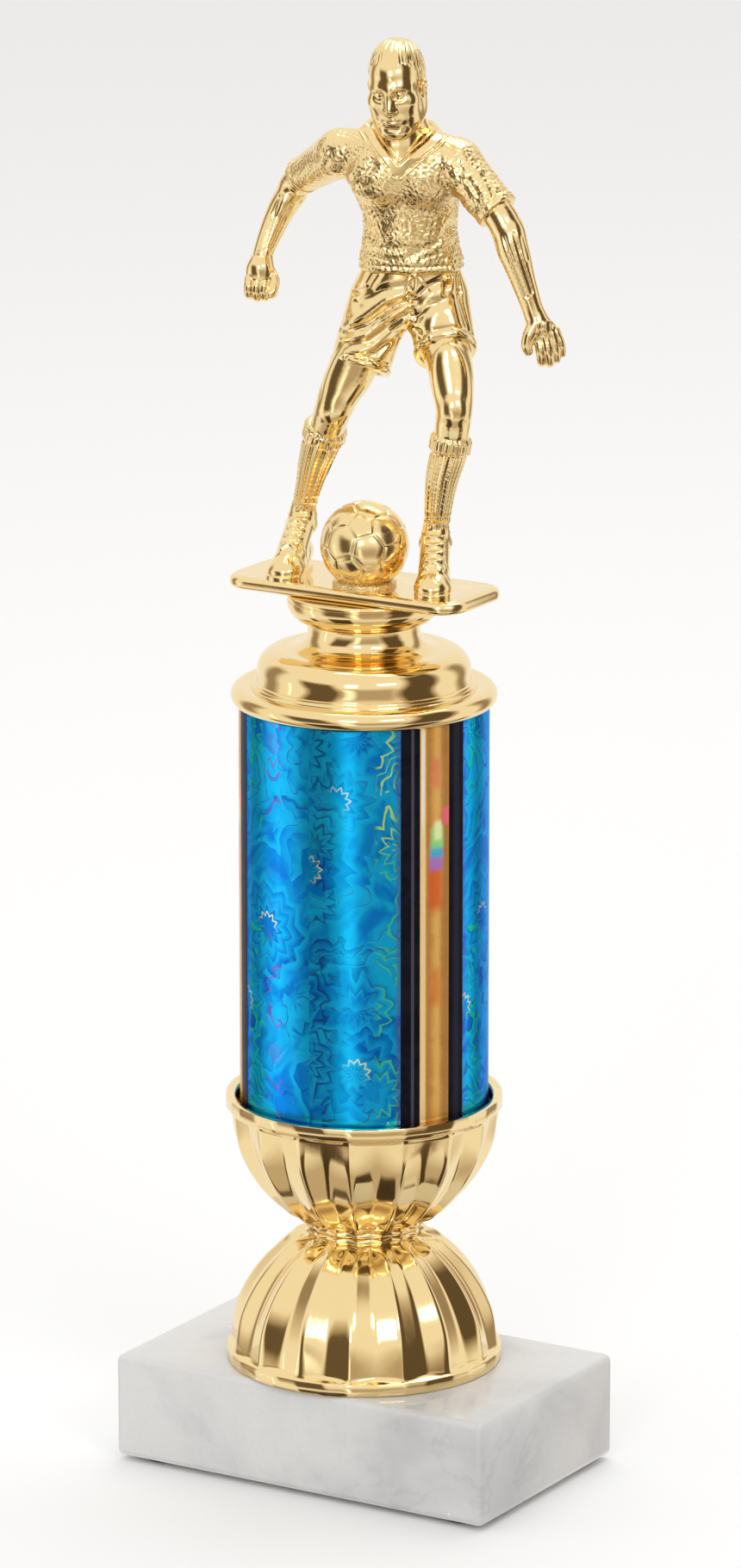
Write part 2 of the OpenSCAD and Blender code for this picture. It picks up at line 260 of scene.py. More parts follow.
def addPiece(name, mesh, body, nodes, material, crease=32):
    obj = bpy.data.objects.new(name, mesh)
    bpy.context.scene.collection.objects.link(obj)
    mesh.polygons.foreach_set("use_smooth", [True] * len(mesh.polygons))
    mesh.set_sharp_from_angle(angle=math.radians(crease))
    mesh.materials.clear()
    mesh.materials.append(material)
    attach(obj, body)
    if nodes:
        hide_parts(*nodes)
    return obj


def arcPoints(centreR, centreZ, radius, start, end, steps=8):
    angles = np.radians(np.linspace(start, end, steps + 1))
    return [(centreR + radius * math.cos(a), centreZ + radius * math.sin(a)) for a in angles]


def atHeight(flat, z):
    return np.column_stack([flat, np.full(len(flat), z)])


def gridMesh(name, rings, capped=False):
    # rings: array (rows, around, 3); rows follow the outline, columns go round the axis
    rows, around = rings.shape[:2]
    index = np.arange(rows * around).reshape(rows, around)
    right = np.roll(index, -1, axis=1)
    faces = np.stack([index[:-1], right[:-1], right[1:], index[1:]], axis=-1).reshape(-1, 4)
    faceList = faces.tolist()
    if capped:
        faceList += [index[0, ::-1].tolist(), index[-1].tolist()]
    mesh = bpy.data.meshes.new(name)
    mesh.from_pydata(rings.reshape(-1, 3).tolist(), [], faceList)
    mesh.validate()
    return mesh


def lathe(name, outline, around=192):
    # outline: (radius, height) pairs in millimetres, run counter-clockwise round the wall's section
    points = np.array(list(outline) + [outline[0]])
    angles = np.linspace(0, 2 * math.pi, around, endpoint=False)
    radius, height = points[:, :1], points[:, 1:]
    rings = np.stack([radius * np.cos(angles), radius * np.sin(angles), height + 0 * angles], axis=-1) * mm
    return weld(gridMesh(name, rings))


def weld(mesh, distance=1e-7):
    work = bmesh.new()
    work.from_mesh(mesh)
    bmesh.ops.remove_doubles(work, verts=work.verts, dist=distance)
    bmesh.ops.recalc_face_normals(work, faces=work.faces)
    work.to_mesh(mesh)
    work.free()
    return mesh


def makeHandledGroup():
    # fine smudges, a faint orange peel and rubbed high edges, as on any handled glossy part
    group, given, out = newGroup("handledSurface", [("Scale", 1.0), ("Peel", 1.0)],
                                 [("Smudge", "Float"), ("Peel", "Float"), ("Rub", "Float")])
    where = objectPlace(group)
    base = vectorMath(group, "SCALE", where, Scale=given["Scale"])
    cloud = noise(group, base, 55.0, 4.0, 0.6)[0]
    streak = noise(group, base, 320.0, 3.0, distort=0.8)[0]
    smudge = plus(group, times(group, cloud, 0.65), times(group, streak, 0.35))
    peel = noise(group, base, 420.0, 1.5, 0.4)[0]
    pointed = put(group, "NewGeometry").outputs["Pointiness"]
    rub = times(group, ease(group, pointed, 0.515, 0.56), ease(group, streak, 0.35, 0.62))
    return giveOut(group, out, Smudge=ease(group, smudge, 0.35, 0.68), Peel=times(group, peel, given["Peel"]), Rub=rub)


def newMaterial(name):
    material = bpy.data.materials.new(name)
    material.use_nodes = True
    tree = material.node_tree
    return material, tree, tree.nodes["Principled BSDF"]


handledSurface = makeHandledGroup()


def bumped(tree, height, strength, distance, before=None):
    inputs = {"Height": height, "Strength": strength, "Distance": distance}
    if before is not None:
        inputs["Normal"] = before
    return put(tree, "Bump", inputs).outputs[0]


goldPlate = {"colour": (0.93, 0.72, 0.36), "rubbed": (0.95, 0.77, 0.45), "roughness": 0.06, "smudge": 0.06}


def makeGold(name, g, peel=0.02, grain=None):
    # grain: size in mm, depth in mm and extra roughness of a pressed texture
    material, tree, shader = newMaterial(name)
    marks = placed(tree, handledSurface, Scale=1.0)
    colour = blendColour(tree, marks["Rub"], g["colour"], g["rubbed"])
    rough = plus(tree, times(tree, marks["Smudge"], g["smudge"]), g["roughness"])
    rough = plus(tree, rough, times(tree, marks["Rub"], 0.08))
    normal = bumped(tree, marks["Peel"], 0.5, peel * mm)
    if grain:
        where = objectPlace(tree)
        coarse = noise(tree, where, 1 / (grain["size"] * mm), 2.0, 0.55, 0.6)[0]
        pits = put(tree, "TexVoronoi", {"Vector": where, "Scale": 0.8 / (grain["size"] * mm)},
                   feature="SMOOTH_F1").outputs["Distance"]
        height = plus(tree, ease(tree, coarse, 0.38, 0.66), times(tree, pits, 0.5))
        normal = bumped(tree, height, 1.0, grain["depth"] * mm, normal)
        rough = plus(tree, rough, grain["rough"])
    setInputs(tree, shader, {"Base Color": colour, "Metallic": 1.0, "Roughness": rough, "Normal": normal})
    return material


mirrorGold = makeGold("mirrorGold", goldPlate)


marbleBlock = {
    "ease": 1.6, "boreR": 3.5, "counterboreR": 11, "counterboreDeep": 8,
    "white": (0.715, 0.715, 0.71), "grey": (0.53, 0.535, 0.54), "vein": (0.33, 0.34, 0.35),
    # the colour of the painted glints on sparse specks
    "paintedGlint": (0.93, 0.93, 0.92),
}


def makeMarble(m):
    material, tree, shader = newMaterial("polishedMarble")
    where = objectPlace(tree)
    drift = noise(tree, where, 22.0, 3.0)["Color"]
    bent = vectorMath(tree, "MULTIPLY_ADD", drift, (0.012, 0.012, 0.012), where)
    cloud = noise(tree, bent, 26.0, 6.0, 0.52, 0.5)[0]
    fine = noise(tree, where, 900.0, 4.0, 0.7)[0]
    fold = noise(tree, bent, 17.0, 5.0, 0.55, 1.6)[0]
    vein = minus(tree, 1.0, ease(tree, calc(tree, "ABSOLUTE", minus(tree, fold, 0.5)), 0.0, 0.022))
    vein = times(tree, vein, ease(tree, cloud, 0.45, 0.70))
    # sparse specks: the bright ones are painted glints of light, the dark ones grains of vein colour
    speck = put(tree, "TexVoronoi", {"Vector": where, "Scale": 330.0}).outputs
    chance = put(tree, "SeparateColor", {0: speck["Color"]}).outputs
    sparse = ease(tree, chance[0], 0.955, 0.96)
    dot = times(tree, sparse, minus(tree, 1.0, ease(tree, speck["Distance"], 0.05, 0.14)))
    body = blendColour(tree, ease(tree, cloud, 0.40, 0.72), m["white"], m["grey"])
    body = blendColour(tree, times(tree, vein, 0.28), body, m["vein"])
    body = blendColour(tree, times(tree, ease(tree, fine, 0.45, 0.75), 0.18), body, m["grey"])
    paintedGlintAndGrain = blendColour(tree, ease(tree, chance[1], 0.6, 0.61), m["paintedGlint"], m["vein"])
    body = blendColour(tree, times(tree, dot, 0.6), body, paintedGlintAndGrain)
    marks = placed(tree, handledSurface, Scale=0.7)
    rough = plus(tree, times(tree, marks["Smudge"], 0.06), 0.05)
    rough = plus(tree, rough, times(tree, marks["Rub"], 0.2))
    setInputs(tree, shader, {"Base Color": body, "Roughness": rough, "IOR": 1.55,
                             "Normal": bumped(tree, fine, 0.12, 0.02 * mm)})
    return material


def cutRound(mesh, radius, low, high):
    # bores a round hole up the Z axis
    cutter = bpy.data.meshes.new("cutter")
    work = bmesh.new()
    bmesh.ops.create_cone(work, cap_ends=True, segments=96, radius1=radius * mm, radius2=radius * mm,
                          depth=(high - low) * mm, matrix=Matrix.Translation((0, 0, (low + high) / 2 * mm)))
    work.to_mesh(cutter)
    work.free()
    block, tool = bpy.data.objects.new("block", mesh), bpy.data.objects.new("tool", cutter)
    for obj in (block, tool):
        bpy.context.scene.collection.objects.link(obj)
    cut = block.modifiers.new("cut", "BOOLEAN")
    cut.object, cut.operation, cut.solver = tool, "DIFFERENCE", "EXACT"
    bpy.context.view_layer.update()
    result = bpy.data.meshes.new_from_object(block.evaluated_get(bpy.context.evaluated_depsgraph_get()))
    for obj in (block, tool):
        bpy.data.objects.remove(obj)
    bpy.data.meshes.remove(cutter)
    return result


def makeBlock(m):
    low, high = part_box("marble_base")
    work = bmesh.new()
    bmesh.ops.create_cube(work, size=1.0)
    size = high - low
    bmesh.ops.scale(work, vec=size, verts=work.verts)
    bmesh.ops.translate(work, vec=(low + high) / 2, verts=work.verts)
    bmesh.ops.bevel(work, geom=list(work.edges), offset=m["ease"] * mm, segments=6, profile=0.5, affect="EDGES")
    mesh = bpy.data.meshes.new("marbleBlock")
    work.to_mesh(mesh)
    work.free()
    foot = low.z / mm
    mesh = cutRound(mesh, m["boreR"], foot - 1, high.z / mm + 1)
    mesh = cutRound(mesh, m["counterboreR"], foot - 1, foot + m["counterboreDeep"])
    mesh.name = "marbleBlock"
    return addPiece("marbleBlock", mesh, "stand", ["marble_base"], makeMarble(m))


makeBlock(marbleBlock)
report("marble block")


bowl = {
    "radius": 28.5, "rise": 30.3, "height": 28.5, "band": 2.6, "count": 16, "perFacet": 9, "groove": 1.75,
    "firstTurn": -53.7, "holeR": 3.5, "cavityR": 25.0, "cavityRise": 27.0, "cavityDeep": 24.5,
    "socketR": 26.0, "socketDeep": 7.0,
}


def facetRing(b, radius, depth):
    # one ring of flat facets: a groove between gadroons, a soft ridge along each one's middle
    half = math.pi / b["count"]
    share = np.arange(b["perFacet"]) / b["perFacet"]
    groove = np.array([radius - depth, 0.0])
    ridge = radius * np.array([math.cos(half), math.sin(half)])
    rising = groove + share[:, None] * (ridge - groove)
    nextGroove = (radius - depth) * np.array([math.cos(2 * half), math.sin(2 * half)])
    falling = ridge + share[:, None] * (nextGroove - ridge)
    one = np.concatenate([rising, falling])
    start = math.radians(b["firstTurn"])
    turns = start + 2 * half * np.arange(b["count"])
    cos, sin = np.cos(turns)[:, None], np.sin(turns)[:, None]
    ring = np.stack([one[:, 0] * cos - one[:, 1] * sin, one[:, 0] * sin + one[:, 1] * cos], axis=-1).reshape(-1, 2)
    return 0.5 * ring + 0.25 * (np.roll(ring, 1, axis=0) + np.roll(ring, -1, axis=0))  # softened edges


def bowlOutline(b):
    # rows of (radius, height above the rim, groove depth), from the rim's foot over the outside to the hole
    def shell(h):
        return b["radius"] * math.sqrt(max(0.0, 1 - (h / b["rise"]) ** 2))

    def smooth(x, low, high):
        t = min(1.0, max(0.0, (x - low) / (high - low)))
        return t * t * (3 - 2 * t)

    rows = [(b["radius"] - 0.5, 0.0, 0), (b["radius"] - 0.15, 0.12, 0), (b["radius"], 0.45, 0),
            (b["radius"] + 0.02, b["band"] * 0.5, 0), (b["radius"] - 0.02, b["band"] - 0.15, 0),
            (b["radius"] - 0.14, b["band"], 0)]
    for h in np.concatenate([np.linspace(b["band"] + 0.12, 4.6, 10), np.linspace(5.1, 24.0, 30)]):
        depth = b["groove"] * (0.62 * smooth(h, b["band"], b["band"] + 1.1) + 0.38 * smooth(h, 3, 12))
        step = 0.55 * smooth(h, b["band"], b["band"] + 0.35)
        rows.append((shell(h) - step * (1 - smooth(h, 4, 12)), h, depth))
    for h in np.linspace(24.3, 27.0, 14):
        # the gadroons end in round lobes
        lobe = math.sin(math.pi * smooth(h, 24.0, 27.0))
        drop = smooth(h, 25.8, 27.0)
        radius = shell(h) + 0.35 * lobe
        rows.append((radius - 1.0 * drop, h, b["groove"] * (1 + 0.5 * lobe) * (1 - 0.55 * drop)))
    for h in np.linspace(27.15, b["height"] - 0.06, 9):
        # a beaded collar at the waist
        bead = math.sin(math.pi * (h - 27.1) / (b["height"] - 27.1))
        rows.append((11.7 + 0.75 * bead, h, 0.15 + 0.5 * bead))
    rows.append((11.3, b["height"], 0.1))
    return rows


def makeBowl(name, b, rimHeight, upward, socket, material):
    sign = -1 if upward else 1
    columns = 2 * b["perFacet"] * b["count"]
    start = math.radians(b["firstTurn"])
    angles = start + np.linspace(0, 2 * math.pi, columns, endpoint=False)
    circle = np.stack([np.cos(angles), np.sin(angles)], axis=-1)
    rings = []
    for radius, h, depth in bowlOutline(b):
        rings.append(atHeight(facetRing(b, radius, depth), rimHeight + sign * h))
    inner = [(b["holeR"] + 1, b["height"]), (b["holeR"], b["height"] - 0.3), (b["holeR"], b["cavityDeep"])]
    grow = 0 if socket else 1
    steps = [b["cavityDeep"] * (1 - i / 18) for i in range(19)]
    for h in steps:
        radius = (b["cavityR"] + grow) * math.sqrt(1 - (h / b["cavityRise"]) ** 2)
        if socket and h < b["socketDeep"]:
            break
        inner.append((radius, h))
    if socket:
        inner += [(inner[-1][0] + 0.05, b["socketDeep"]), (b["socketR"], b["socketDeep"]), (b["socketR"], 1.6),
                  (b["socketR"] + 0.15, 0.9), (b["socketR"] + 0.55, 0.35), (b["socketR"] + 1.1, 0.06),
                  (b["radius"] - 0.9, 0.0)]
    for radius, h in inner:
        rings.append(atHeight(circle * radius, rimHeight + sign * h))
    mesh = weld(gridMesh(name, np.array(rings + rings[:1]) * mm))
    node = "upper_bowl" if upward else "lower_bowl"
    return addPiece(name, mesh, "stand", [node], material, crease=38)


makeBowl("lowerBowl", bowl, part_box("lower_bowl")[0].z / mm, False, False, mirrorGold)
makeBowl("upperBowl", bowl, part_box("upper_bowl")[1].z / mm, True, True, mirrorGold)
report("bowls")


film = {
    "innerR": 25.2, "outerR": 25.5, "edge": 0.08, "bandCentre": -24.7, "blueSpan": 85.5, "blackSpan": 9.25,
    "goldSpan": 16.0, "repeats": 3, "patchSize": 29.0, "ringStep": 2.7,
}


def makeFilmPlace(f):
    # arc length from a gold stripe's centre and height, both in mm, the same for each of the three repeats
    group, _, out = newGroup("filmPlace", [], [("Place", "Vector"), ("Along", "Float"), ("Height", "Float")])
    where = objectPlace(group)
    split = put(group, "SeparateXYZ", {0: where}).outputs
    angle = calc(group, "ARCTAN2", split[1], split[0])
    angle = minus(group, angle, math.radians(f["bandCentre"]))
    third = 2 * math.pi / f["repeats"]
    angle = minus(group, calc(group, "FLOORED_MODULO", plus(group, angle, third / 2), third), third / 2)
    along = times(group, angle, f["outerR"])
    height = times(group, split[2], 1000)
    place = put(group, "CombineXYZ", {0: along, 1: height, 2: 0.0}).outputs[0]
    return giveOut(group, out, Place=place, Along=along, Height=height)


def makeStarburst(f):
    # nested zigzag stars round scattered centres, torn and bent on their way out, with a small bright star in each
    group, given, out = newGroup("starburst", [("Place", "vector"), ("Size", f["patchSize"]), ("Bend", 1.0)],
                                 [("Shade", "Float"), ("Fringe", "Float"), ("Star", "Float"), ("Side", "Float"),
                                  ("Stroke", "Float")])
    place, size = given["Place"], given["Size"]
    drift = noise(group, place, 0.10, 2.5, dimensions="2D")["Color"]
    shift = vectorMath(group, "SUBTRACT", drift, (0.5, 0.5, 0.5))
    shift = vectorMath(group, "SCALE", shift, Scale=times(group, given["Bend"], 9.0))
    cell = put(group, "TexVoronoi", {"Vector": place, "Scale": calc(group, "DIVIDE", 1.0, size), "Randomness": 0.6},
               voronoi_dimensions="2D").outputs
    toCentre = vectorMath(group, "SUBTRACT", place, cell["Position"])
    radius = vectorMath(group, "LENGTH", toCentre, result="Value")
    # the drift grows with the distance, so that the middle stars stay regular
    bent = vectorMath(group, "SCALE", shift, Scale=ease(group, radius, 3.5, 14.0))
    offset = vectorMath(group, "ADD", toCentre, bent)
    split = put(group, "SeparateXYZ", {0: offset}).outputs
    reach = vectorMath(group, "LENGTH", offset, result="Value")
    turn = calc(group, "ARCTAN2", split[1], split[0])
    spin = times(group, put(group, "SeparateColor", {0: cell["Color"]}).outputs[0], 6.0)
    tooth = calc(group, "PINGPONG", plus(group, times(group, turn, 11 / math.pi), spin), 1.0)
    steps = minus(group, reach, times(group, tooth, 1.9))
    steps = calc(group, "DIVIDE", steps, f["ringStep"])
    ring = calc(group, "FLOOR", steps)
    part = calc(group, "FRACT", steps)
    seed = put(group, "CombineXYZ", {0: ring, 1: spin, 2: 0.0}).outputs[0]
    tone = put(group, "TexWhiteNoise", {"Vector": seed}, noise_dimensions="2D").outputs["Value"]
    # each ring fades from its inner edge outwards
    shade = times(group, tone, minus(group, 1.0, times(group, part, 0.75)))
    fringe = times(group, minus(group, 1.0, ease(group, part, 0.0, 0.16)), ease(group, tone, 0.45, 0.7))
    stroke = times(group, minus(group, 1.0, ease(group, part, 0.16, 0.34)), ease(group, tone, 0.4, 0.55))
    starReach = minus(group, radius, times(group, tooth, 0.95))
    star = minus(group, 1.0, ease(group, calc(group, "ABSOLUTE", minus(group, starReach, 2.15)), 0.10, 0.36))
    side = ease(group, calc(group, "COSINE", minus(group, turn, times(group, spin, 0.25))), -0.3, 0.8)
    return giveOut(group, out, Shade=shade, Fringe=fringe, Star=star, Side=side, Stroke=stroke)


filmPlace = makeFilmPlace(film)
starburst = makeStarburst(film)


def bandMask(tree, value, middle, half, hardness=0.5):
    aside = calc(tree, "ABSOLUTE", minus(tree, value, middle))
    return minus(tree, 1.0, ease(tree, aside, half * hardness, half))


def makeFilm(name, look):
    material, tree, shader = newMaterial(name)
    spot = placed(tree, filmPlace)
    burst = placed(tree, starburst, Place=spot["Place"])
    torn = placed(tree, starburst, Place=spot["Place"], Size=17.0, Bend=2.2)
    marks = placed(tree, handledSurface, Scale=1.4)
    cloud = noise(tree, spot["Place"], look["cloud"], 3.0, distort=1.2, dimensions="2D")[0]
    colour = blendColour(tree, ease(tree, cloud, 0.36, 0.64), look["base"], look["second"])
    colour = blendColour(tree, times(tree, ease(tree, torn["Shade"], 0.25, 0.85), look["bands"] * 0.7),
                         colour, look["deep"])
    colour = blendColour(tree, times(tree, ease(tree, burst["Shade"], 0.15, 0.8), look["bands"]),
                         colour, look["second"])
    darker = times(tree, ease(tree, burst["Fringe"], 0.2, 0.9), ease(tree, cloud, 0.40, 0.56))
    colour = blendColour(tree, times(tree, darker, look["fringes"]), colour, look["fringe"])
    lit = times(tree, torn["Fringe"], ease(tree, cloud, 0.62, 0.48))
    colour = blendColour(tree, times(tree, lit, look["lines"]), colour, look["line"])
    # the small bright stars, strongest on one side of their outline
    starColour = blendColour(tree, burst["Side"], look["starOne"], look["starTwo"])
    side = plus(tree, times(tree, burst["Side"], 0.75), 0.25)
    colour = blendColour(tree, times(tree, times(tree, burst["Star"], side), look["stars"]),
                         colour, starColour)
    for edge in look["edges"]:
        # a coloured patch or fringe, by its place along the repeat and its height; some are painted highlights,
        # painted reflections and painted shade
        mask = bandMask(tree, spot["Along"], edge["at"], edge["half"], edge.get("hard", 0.4))
        if "height" in edge:
            mask = times(tree, mask, bandMask(tree, spot["Height"], edge["height"], edge["tall"], 0.5))
        if edge.get("strokes"):
            # broken zigzag strokes, following the torn rings
            mask = times(tree, mask, ease(tree, torn["Stroke"], 0.2, 0.6))
        colour = blendColour(tree, times(tree, mask, edge["share"]), colour, edge["colour"])
    rough = plus(tree, times(tree, marks["Smudge"], 0.08), look["roughness"])
    height = plus(tree, times(tree, torn["Shade"], 0.5), marks["Peel"])
    setInputs(tree, shader, {
        "Base Color": colour, "Roughness": rough, "Normal": bumped(tree, height, 0.2, 0.03 * mm),
        "Metallic": look["metallic"], "Specular Tint": (*look["grazing"], 1),
        "Specular IOR Level": look.get("gloss", 0.5), "Coat Weight": look["coat"], "Coat Roughness": 0.06,
    })
    return material


violetGlow = (0.14, 0.05, 0.46)
blueLook = {
    "base": (0.002, 0.24, 0.80), "second": (0.008, 0.53, 1.0), "deep": (0.002, 0.06, 0.46), "bands": 0.95,
    "fringe": (0.045, 0.055, 0.33), "fringes": 0.75, "line": (0.02, 0.50, 0.86), "lines": 0.55,
    "starOne": (0.05, 0.72, 0.75), "starTwo": (0.90, 0.95, 0.70), "stars": 0.95, "cloud": 0.075, "roughness": 0.22,
    "metallic": 0.96, "coat": 0.10, "grazing": (0.10, 0.45, 0.80),
    "edges": [
        {"at": 8.0, "half": 0.9, "share": 0.4, "colour": violetGlow},
        {"at": -8.0, "half": 0.9, "share": 0.4, "colour": violetGlow},
        {"at": -10.6, "half": 3.2, "share": 0.6, "colour": (0.12, 0.85, 0.22), "strokes": True},
        {"at": -10.8, "half": 2.4, "share": 0.9, "colour": (0.62, 0.95, 0.28), "strokes": True, "height": 150,
         "tall": 16},
        {"at": 12.0, "half": 3.6, "share": 0.75, "colour": (0.04, 0.80, 0.28), "strokes": True},
        {"at": -23.5, "half": 3.2, "share": 0.6, "colour": (0.01, 0.015, 0.25), "strokes": True},
        # a broad cyan band, a painted highlight standing for a lamp's reflection on the film
        {"at": -19.5, "half": 5.0, "share": 0.4, "colour": (0.0, 0.58, 1.0), "hard": 0.05},
        {"at": 18.0, "half": 3.0, "share": 0.6, "colour": (0.24, 0.08, 0.58), "strokes": True},
    ],
}
blackLook = {
    "base": (0.006, 0.006, 0.010), "second": (0.010, 0.010, 0.017), "deep": (0.004, 0.004, 0.008), "bands": 0.4,
    "fringe": (0.006, 0.006, 0.012), "fringes": 0.3, "line": (0.016, 0.016, 0.026), "lines": 0.3,
    "starOne": (0.02, 0.02, 0.03), "starTwo": (0.03, 0.03, 0.04), "stars": 0.2, "cloud": 0.12, "roughness": 0.28,
    "metallic": 0.0, "coat": 0.0, "grazing": (0.35, 0.35, 0.45), "gloss": 0.04,
    # the lighter lines down the middle of both black strips are painted reflections
    "edges": [{"at": -5.2, "half": 0.45, "share": 0.7, "colour": (0.085, 0.08, 0.10)},
              {"at": 5.6, "half": 1.2, "share": 0.6, "colour": (0.028, 0.026, 0.042)}],
}
goldLook = {
    "base": (0.66, 0.28, 0.05), "second": (0.76, 0.39, 0.09), "deep": (0.40, 0.14, 0.025), "bands": 0.35,
    "fringe": (0.60, 0.22, 0.05), "fringes": 0.35, "line": (0.85, 0.58, 0.22), "lines": 0.4,
    "starOne": (0.75, 0.55, 0.25), "starTwo": (0.85, 0.62, 0.3), "stars": 0.2, "cloud": 0.13, "roughness": 0.2,
    "metallic": 0.25, "coat": 0.10, "grazing": (0.95, 0.7, 0.35),
    "edges": [
        # across the stripe, the dark brown, orange, brown and bright yellow bands are painted shade and painted
        # highlights of its curve, and the pale patch near the top is a painted highlight
        {"at": 2.9, "half": 2.4, "share": 0.75, "colour": (0.30, 0.13, 0.03), "hard": 0.1},
        {"at": 0.4, "half": 1.3, "share": 0.8, "colour": (0.84, 0.50, 0.15), "hard": 0.1},
        {"at": -1.6, "half": 1.0, "share": 0.6, "colour": (0.45, 0.20, 0.05), "hard": 0.1},
        {"at": -2.9, "half": 0.8, "share": 0.95, "colour": (1.0, 0.74, 0.38), "hard": 0.5},
        {"at": -2.9, "half": 0.45, "share": 0.9, "colour": (1.0, 0.95, 0.78), "height": 152, "tall": 14},
        {"at": 0.2, "half": 1.9, "share": 0.75, "colour": (0.85, 0.24, 0.12), "height": 152.5, "tall": 4.0,
         "hard": 0.1},
        {"at": 0.0, "half": 2.4, "share": 0.85, "colour": (0.75, 0.11, 0.02), "height": 129.0, "tall": 6.5,
         "hard": 0.3},
        {"at": 0.0, "half": 2.0, "share": 0.6, "colour": (0.75, 0.16, 0.03), "height": 108.0, "tall": 5.0,
         "hard": 0.1},
        {"at": 0.2, "half": 2.2, "share": 0.9, "colour": (0.42, 0.20, 0.66), "height": 134.2, "tall": 2.4,
         "hard": 0.4},
        {"at": 0.3, "half": 2.1, "share": 0.9, "colour": (0.03, 0.48, 0.78), "height": 136.6, "tall": 2.0,
         "hard": 0.4},
        {"at": 0.4, "half": 2.1, "share": 0.95, "colour": (0.32, 0.80, 0.22), "height": 139.2, "tall": 3.0,
         "hard": 0.4},
        {"at": 0.6, "half": 1.5, "share": 0.9, "colour": (0.97, 0.97, 0.55), "height": 140.6, "tall": 2.6,
         "hard": 0.2},
        {"at": 2.6, "half": 1.2, "share": 0.85, "colour": (0.92, 0.12, 0.22), "height": 143.4, "tall": 2.4},
    ],
}


def filmArc(name, f, start, span, low, high):
    # one wrapped strip: a thin closed section with softened edges, swept up the column
    turns = np.radians(np.linspace(start, start + span, int(span / 1.2) + 2))
    bevel = f["edge"] / f["outerR"]
    outer = np.concatenate([[turns[0] + 1e-5], [turns[0] + bevel], turns[1:-1], [turns[-1] - bevel],
                            [turns[-1] - 1e-5]])
    radii = np.full(len(outer), f["outerR"])
    radii[[0, -1]] = f["outerR"] - f["edge"]
    loop = np.concatenate([np.column_stack([radii * np.cos(outer), radii * np.sin(outer)]),
                           f["innerR"] * np.column_stack([np.cos(outer[::-1]), np.sin(outer[::-1])])])
    levels = np.linspace(low, high, 9)
    rings = np.array([atHeight(loop, z) for z in levels]) * mm
    return weld(gridMesh(name, rings, capped=True))


def makeColumnFilm(f):
    low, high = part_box("blue_foil")[0].z / mm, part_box("blue_foil")[1].z / mm
    materials = {"blue": makeFilm("blueStarFilm", blueLook), "black": makeFilm("blackStripeFilm", blackLook),
                 "gold": makeFilm("goldStripeFilm", goldLook)}
    bandSpan = 2 * f["blackSpan"] + f["goldSpan"]
    third = 360 / f["repeats"]
    for i in range(f["repeats"]):
        centre = f["bandCentre"] + i * third
        strips = [
            ("blue", centre + bandSpan / 2, f["blueSpan"], "blue_foil", "blue_film"),
            ("gold", centre - f["goldSpan"] / 2, f["goldSpan"], "gold_stripes", "gold_film"),
            ("black", centre - bandSpan / 2, f["blackSpan"], "black_stripes", "black_film"),
            ("black", centre + f["goldSpan"] / 2, f["blackSpan"], "black_stripes", "black_film"),
        ]
        for number, (colour, start, span, node, slot) in enumerate(strips):
            name = f"{colour}Strip{i}{number}"
            addPiece(name, filmArc(name, f, start, span, low, high), "stand", [node], materials[colour])


makeColumnFilm(film)
report("column film")


lid = {
    "spigotR": 22.2, "spigotWall": 2.0, "spigotDeep": 6.0, "brimR": 27.1, "domeR": 21.75, "shoulder": 4.2,
    "neckR": 11.6, "pocketR": 7.0, "pocketDeep": 4.8, "holeR": 3.5, "wall": 2.0,
}


def makeLid(d):
    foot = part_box("column_lid")[0].z / mm + d["spigotDeep"]  # the column's top edge
    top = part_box("column_lid")[1].z / mm
    edge = 2.0
    inner = d["spigotR"] - d["spigotWall"]
    outline = [(inner, foot - d["spigotDeep"]), (d["spigotR"] - 0.3, foot - d["spigotDeep"]),
               (d["spigotR"], foot - d["spigotDeep"] + 0.3), (d["spigotR"], foot)]
    outline += [(d["brimR"] - edge - 0.4, foot)] + arcPoints(d["brimR"] - edge, foot + edge, edge, -90, 90, 18)
    brim = foot + 2 * edge
    outline += [(23.4, brim + 0.02), (23.15, brim - 0.1), (22.95, brim + 0.06), (22.9, brim + 0.35),
                (22.75, brim + 0.5), (22.45, brim + 0.52), (22.32, brim + 0.66), (22.28, brim + 0.95),
                (22.1, brim + 1.08), (21.86, brim + 1.12), (21.8, brim + 1.3), (d["domeR"], brim + 2.4)]
    outline += arcPoints(d["domeR"] - d["shoulder"], brim + 7.4 - d["shoulder"], d["shoulder"], 0, 80, 14)
    outline += [(17.4, brim + 7.42), (16.9, brim + 7.5), (16.4, brim + 7.46), (16.0, brim + 7.48)]
    outline += [(11.45 + 4.5 * (1 - math.sin(a)), brim + 11.2 - 3.7 * math.cos(a))
                for a in np.linspace(0.06, 1.55, 16)]
    outline += [(11.5, brim + 12.3), (11.6, top - 0.25), (11.4, top - 0.03), (11.2, top)]
    outline += [(d["pocketR"] + 0.2, top), (d["pocketR"], top - 0.2), (d["pocketR"], top - d["pocketDeep"]),
                (d["holeR"], top - d["pocketDeep"]), (d["holeR"], top - d["pocketDeep"] - d["wall"]),
                (d["pocketR"] + d["wall"], top - d["pocketDeep"] - d["wall"]), (inner, foot + d["wall"])]
    addPiece("columnLid", lathe("columnLid", outline, 224), "stand", ["column_lid"], mirrorGold,
             crease=40)


makeLid(lid)
report("lid")


boss = {"neckR": 11.6, "flare": 4.0, "pocketR": 6.15, "pocketDeep": 5.5}


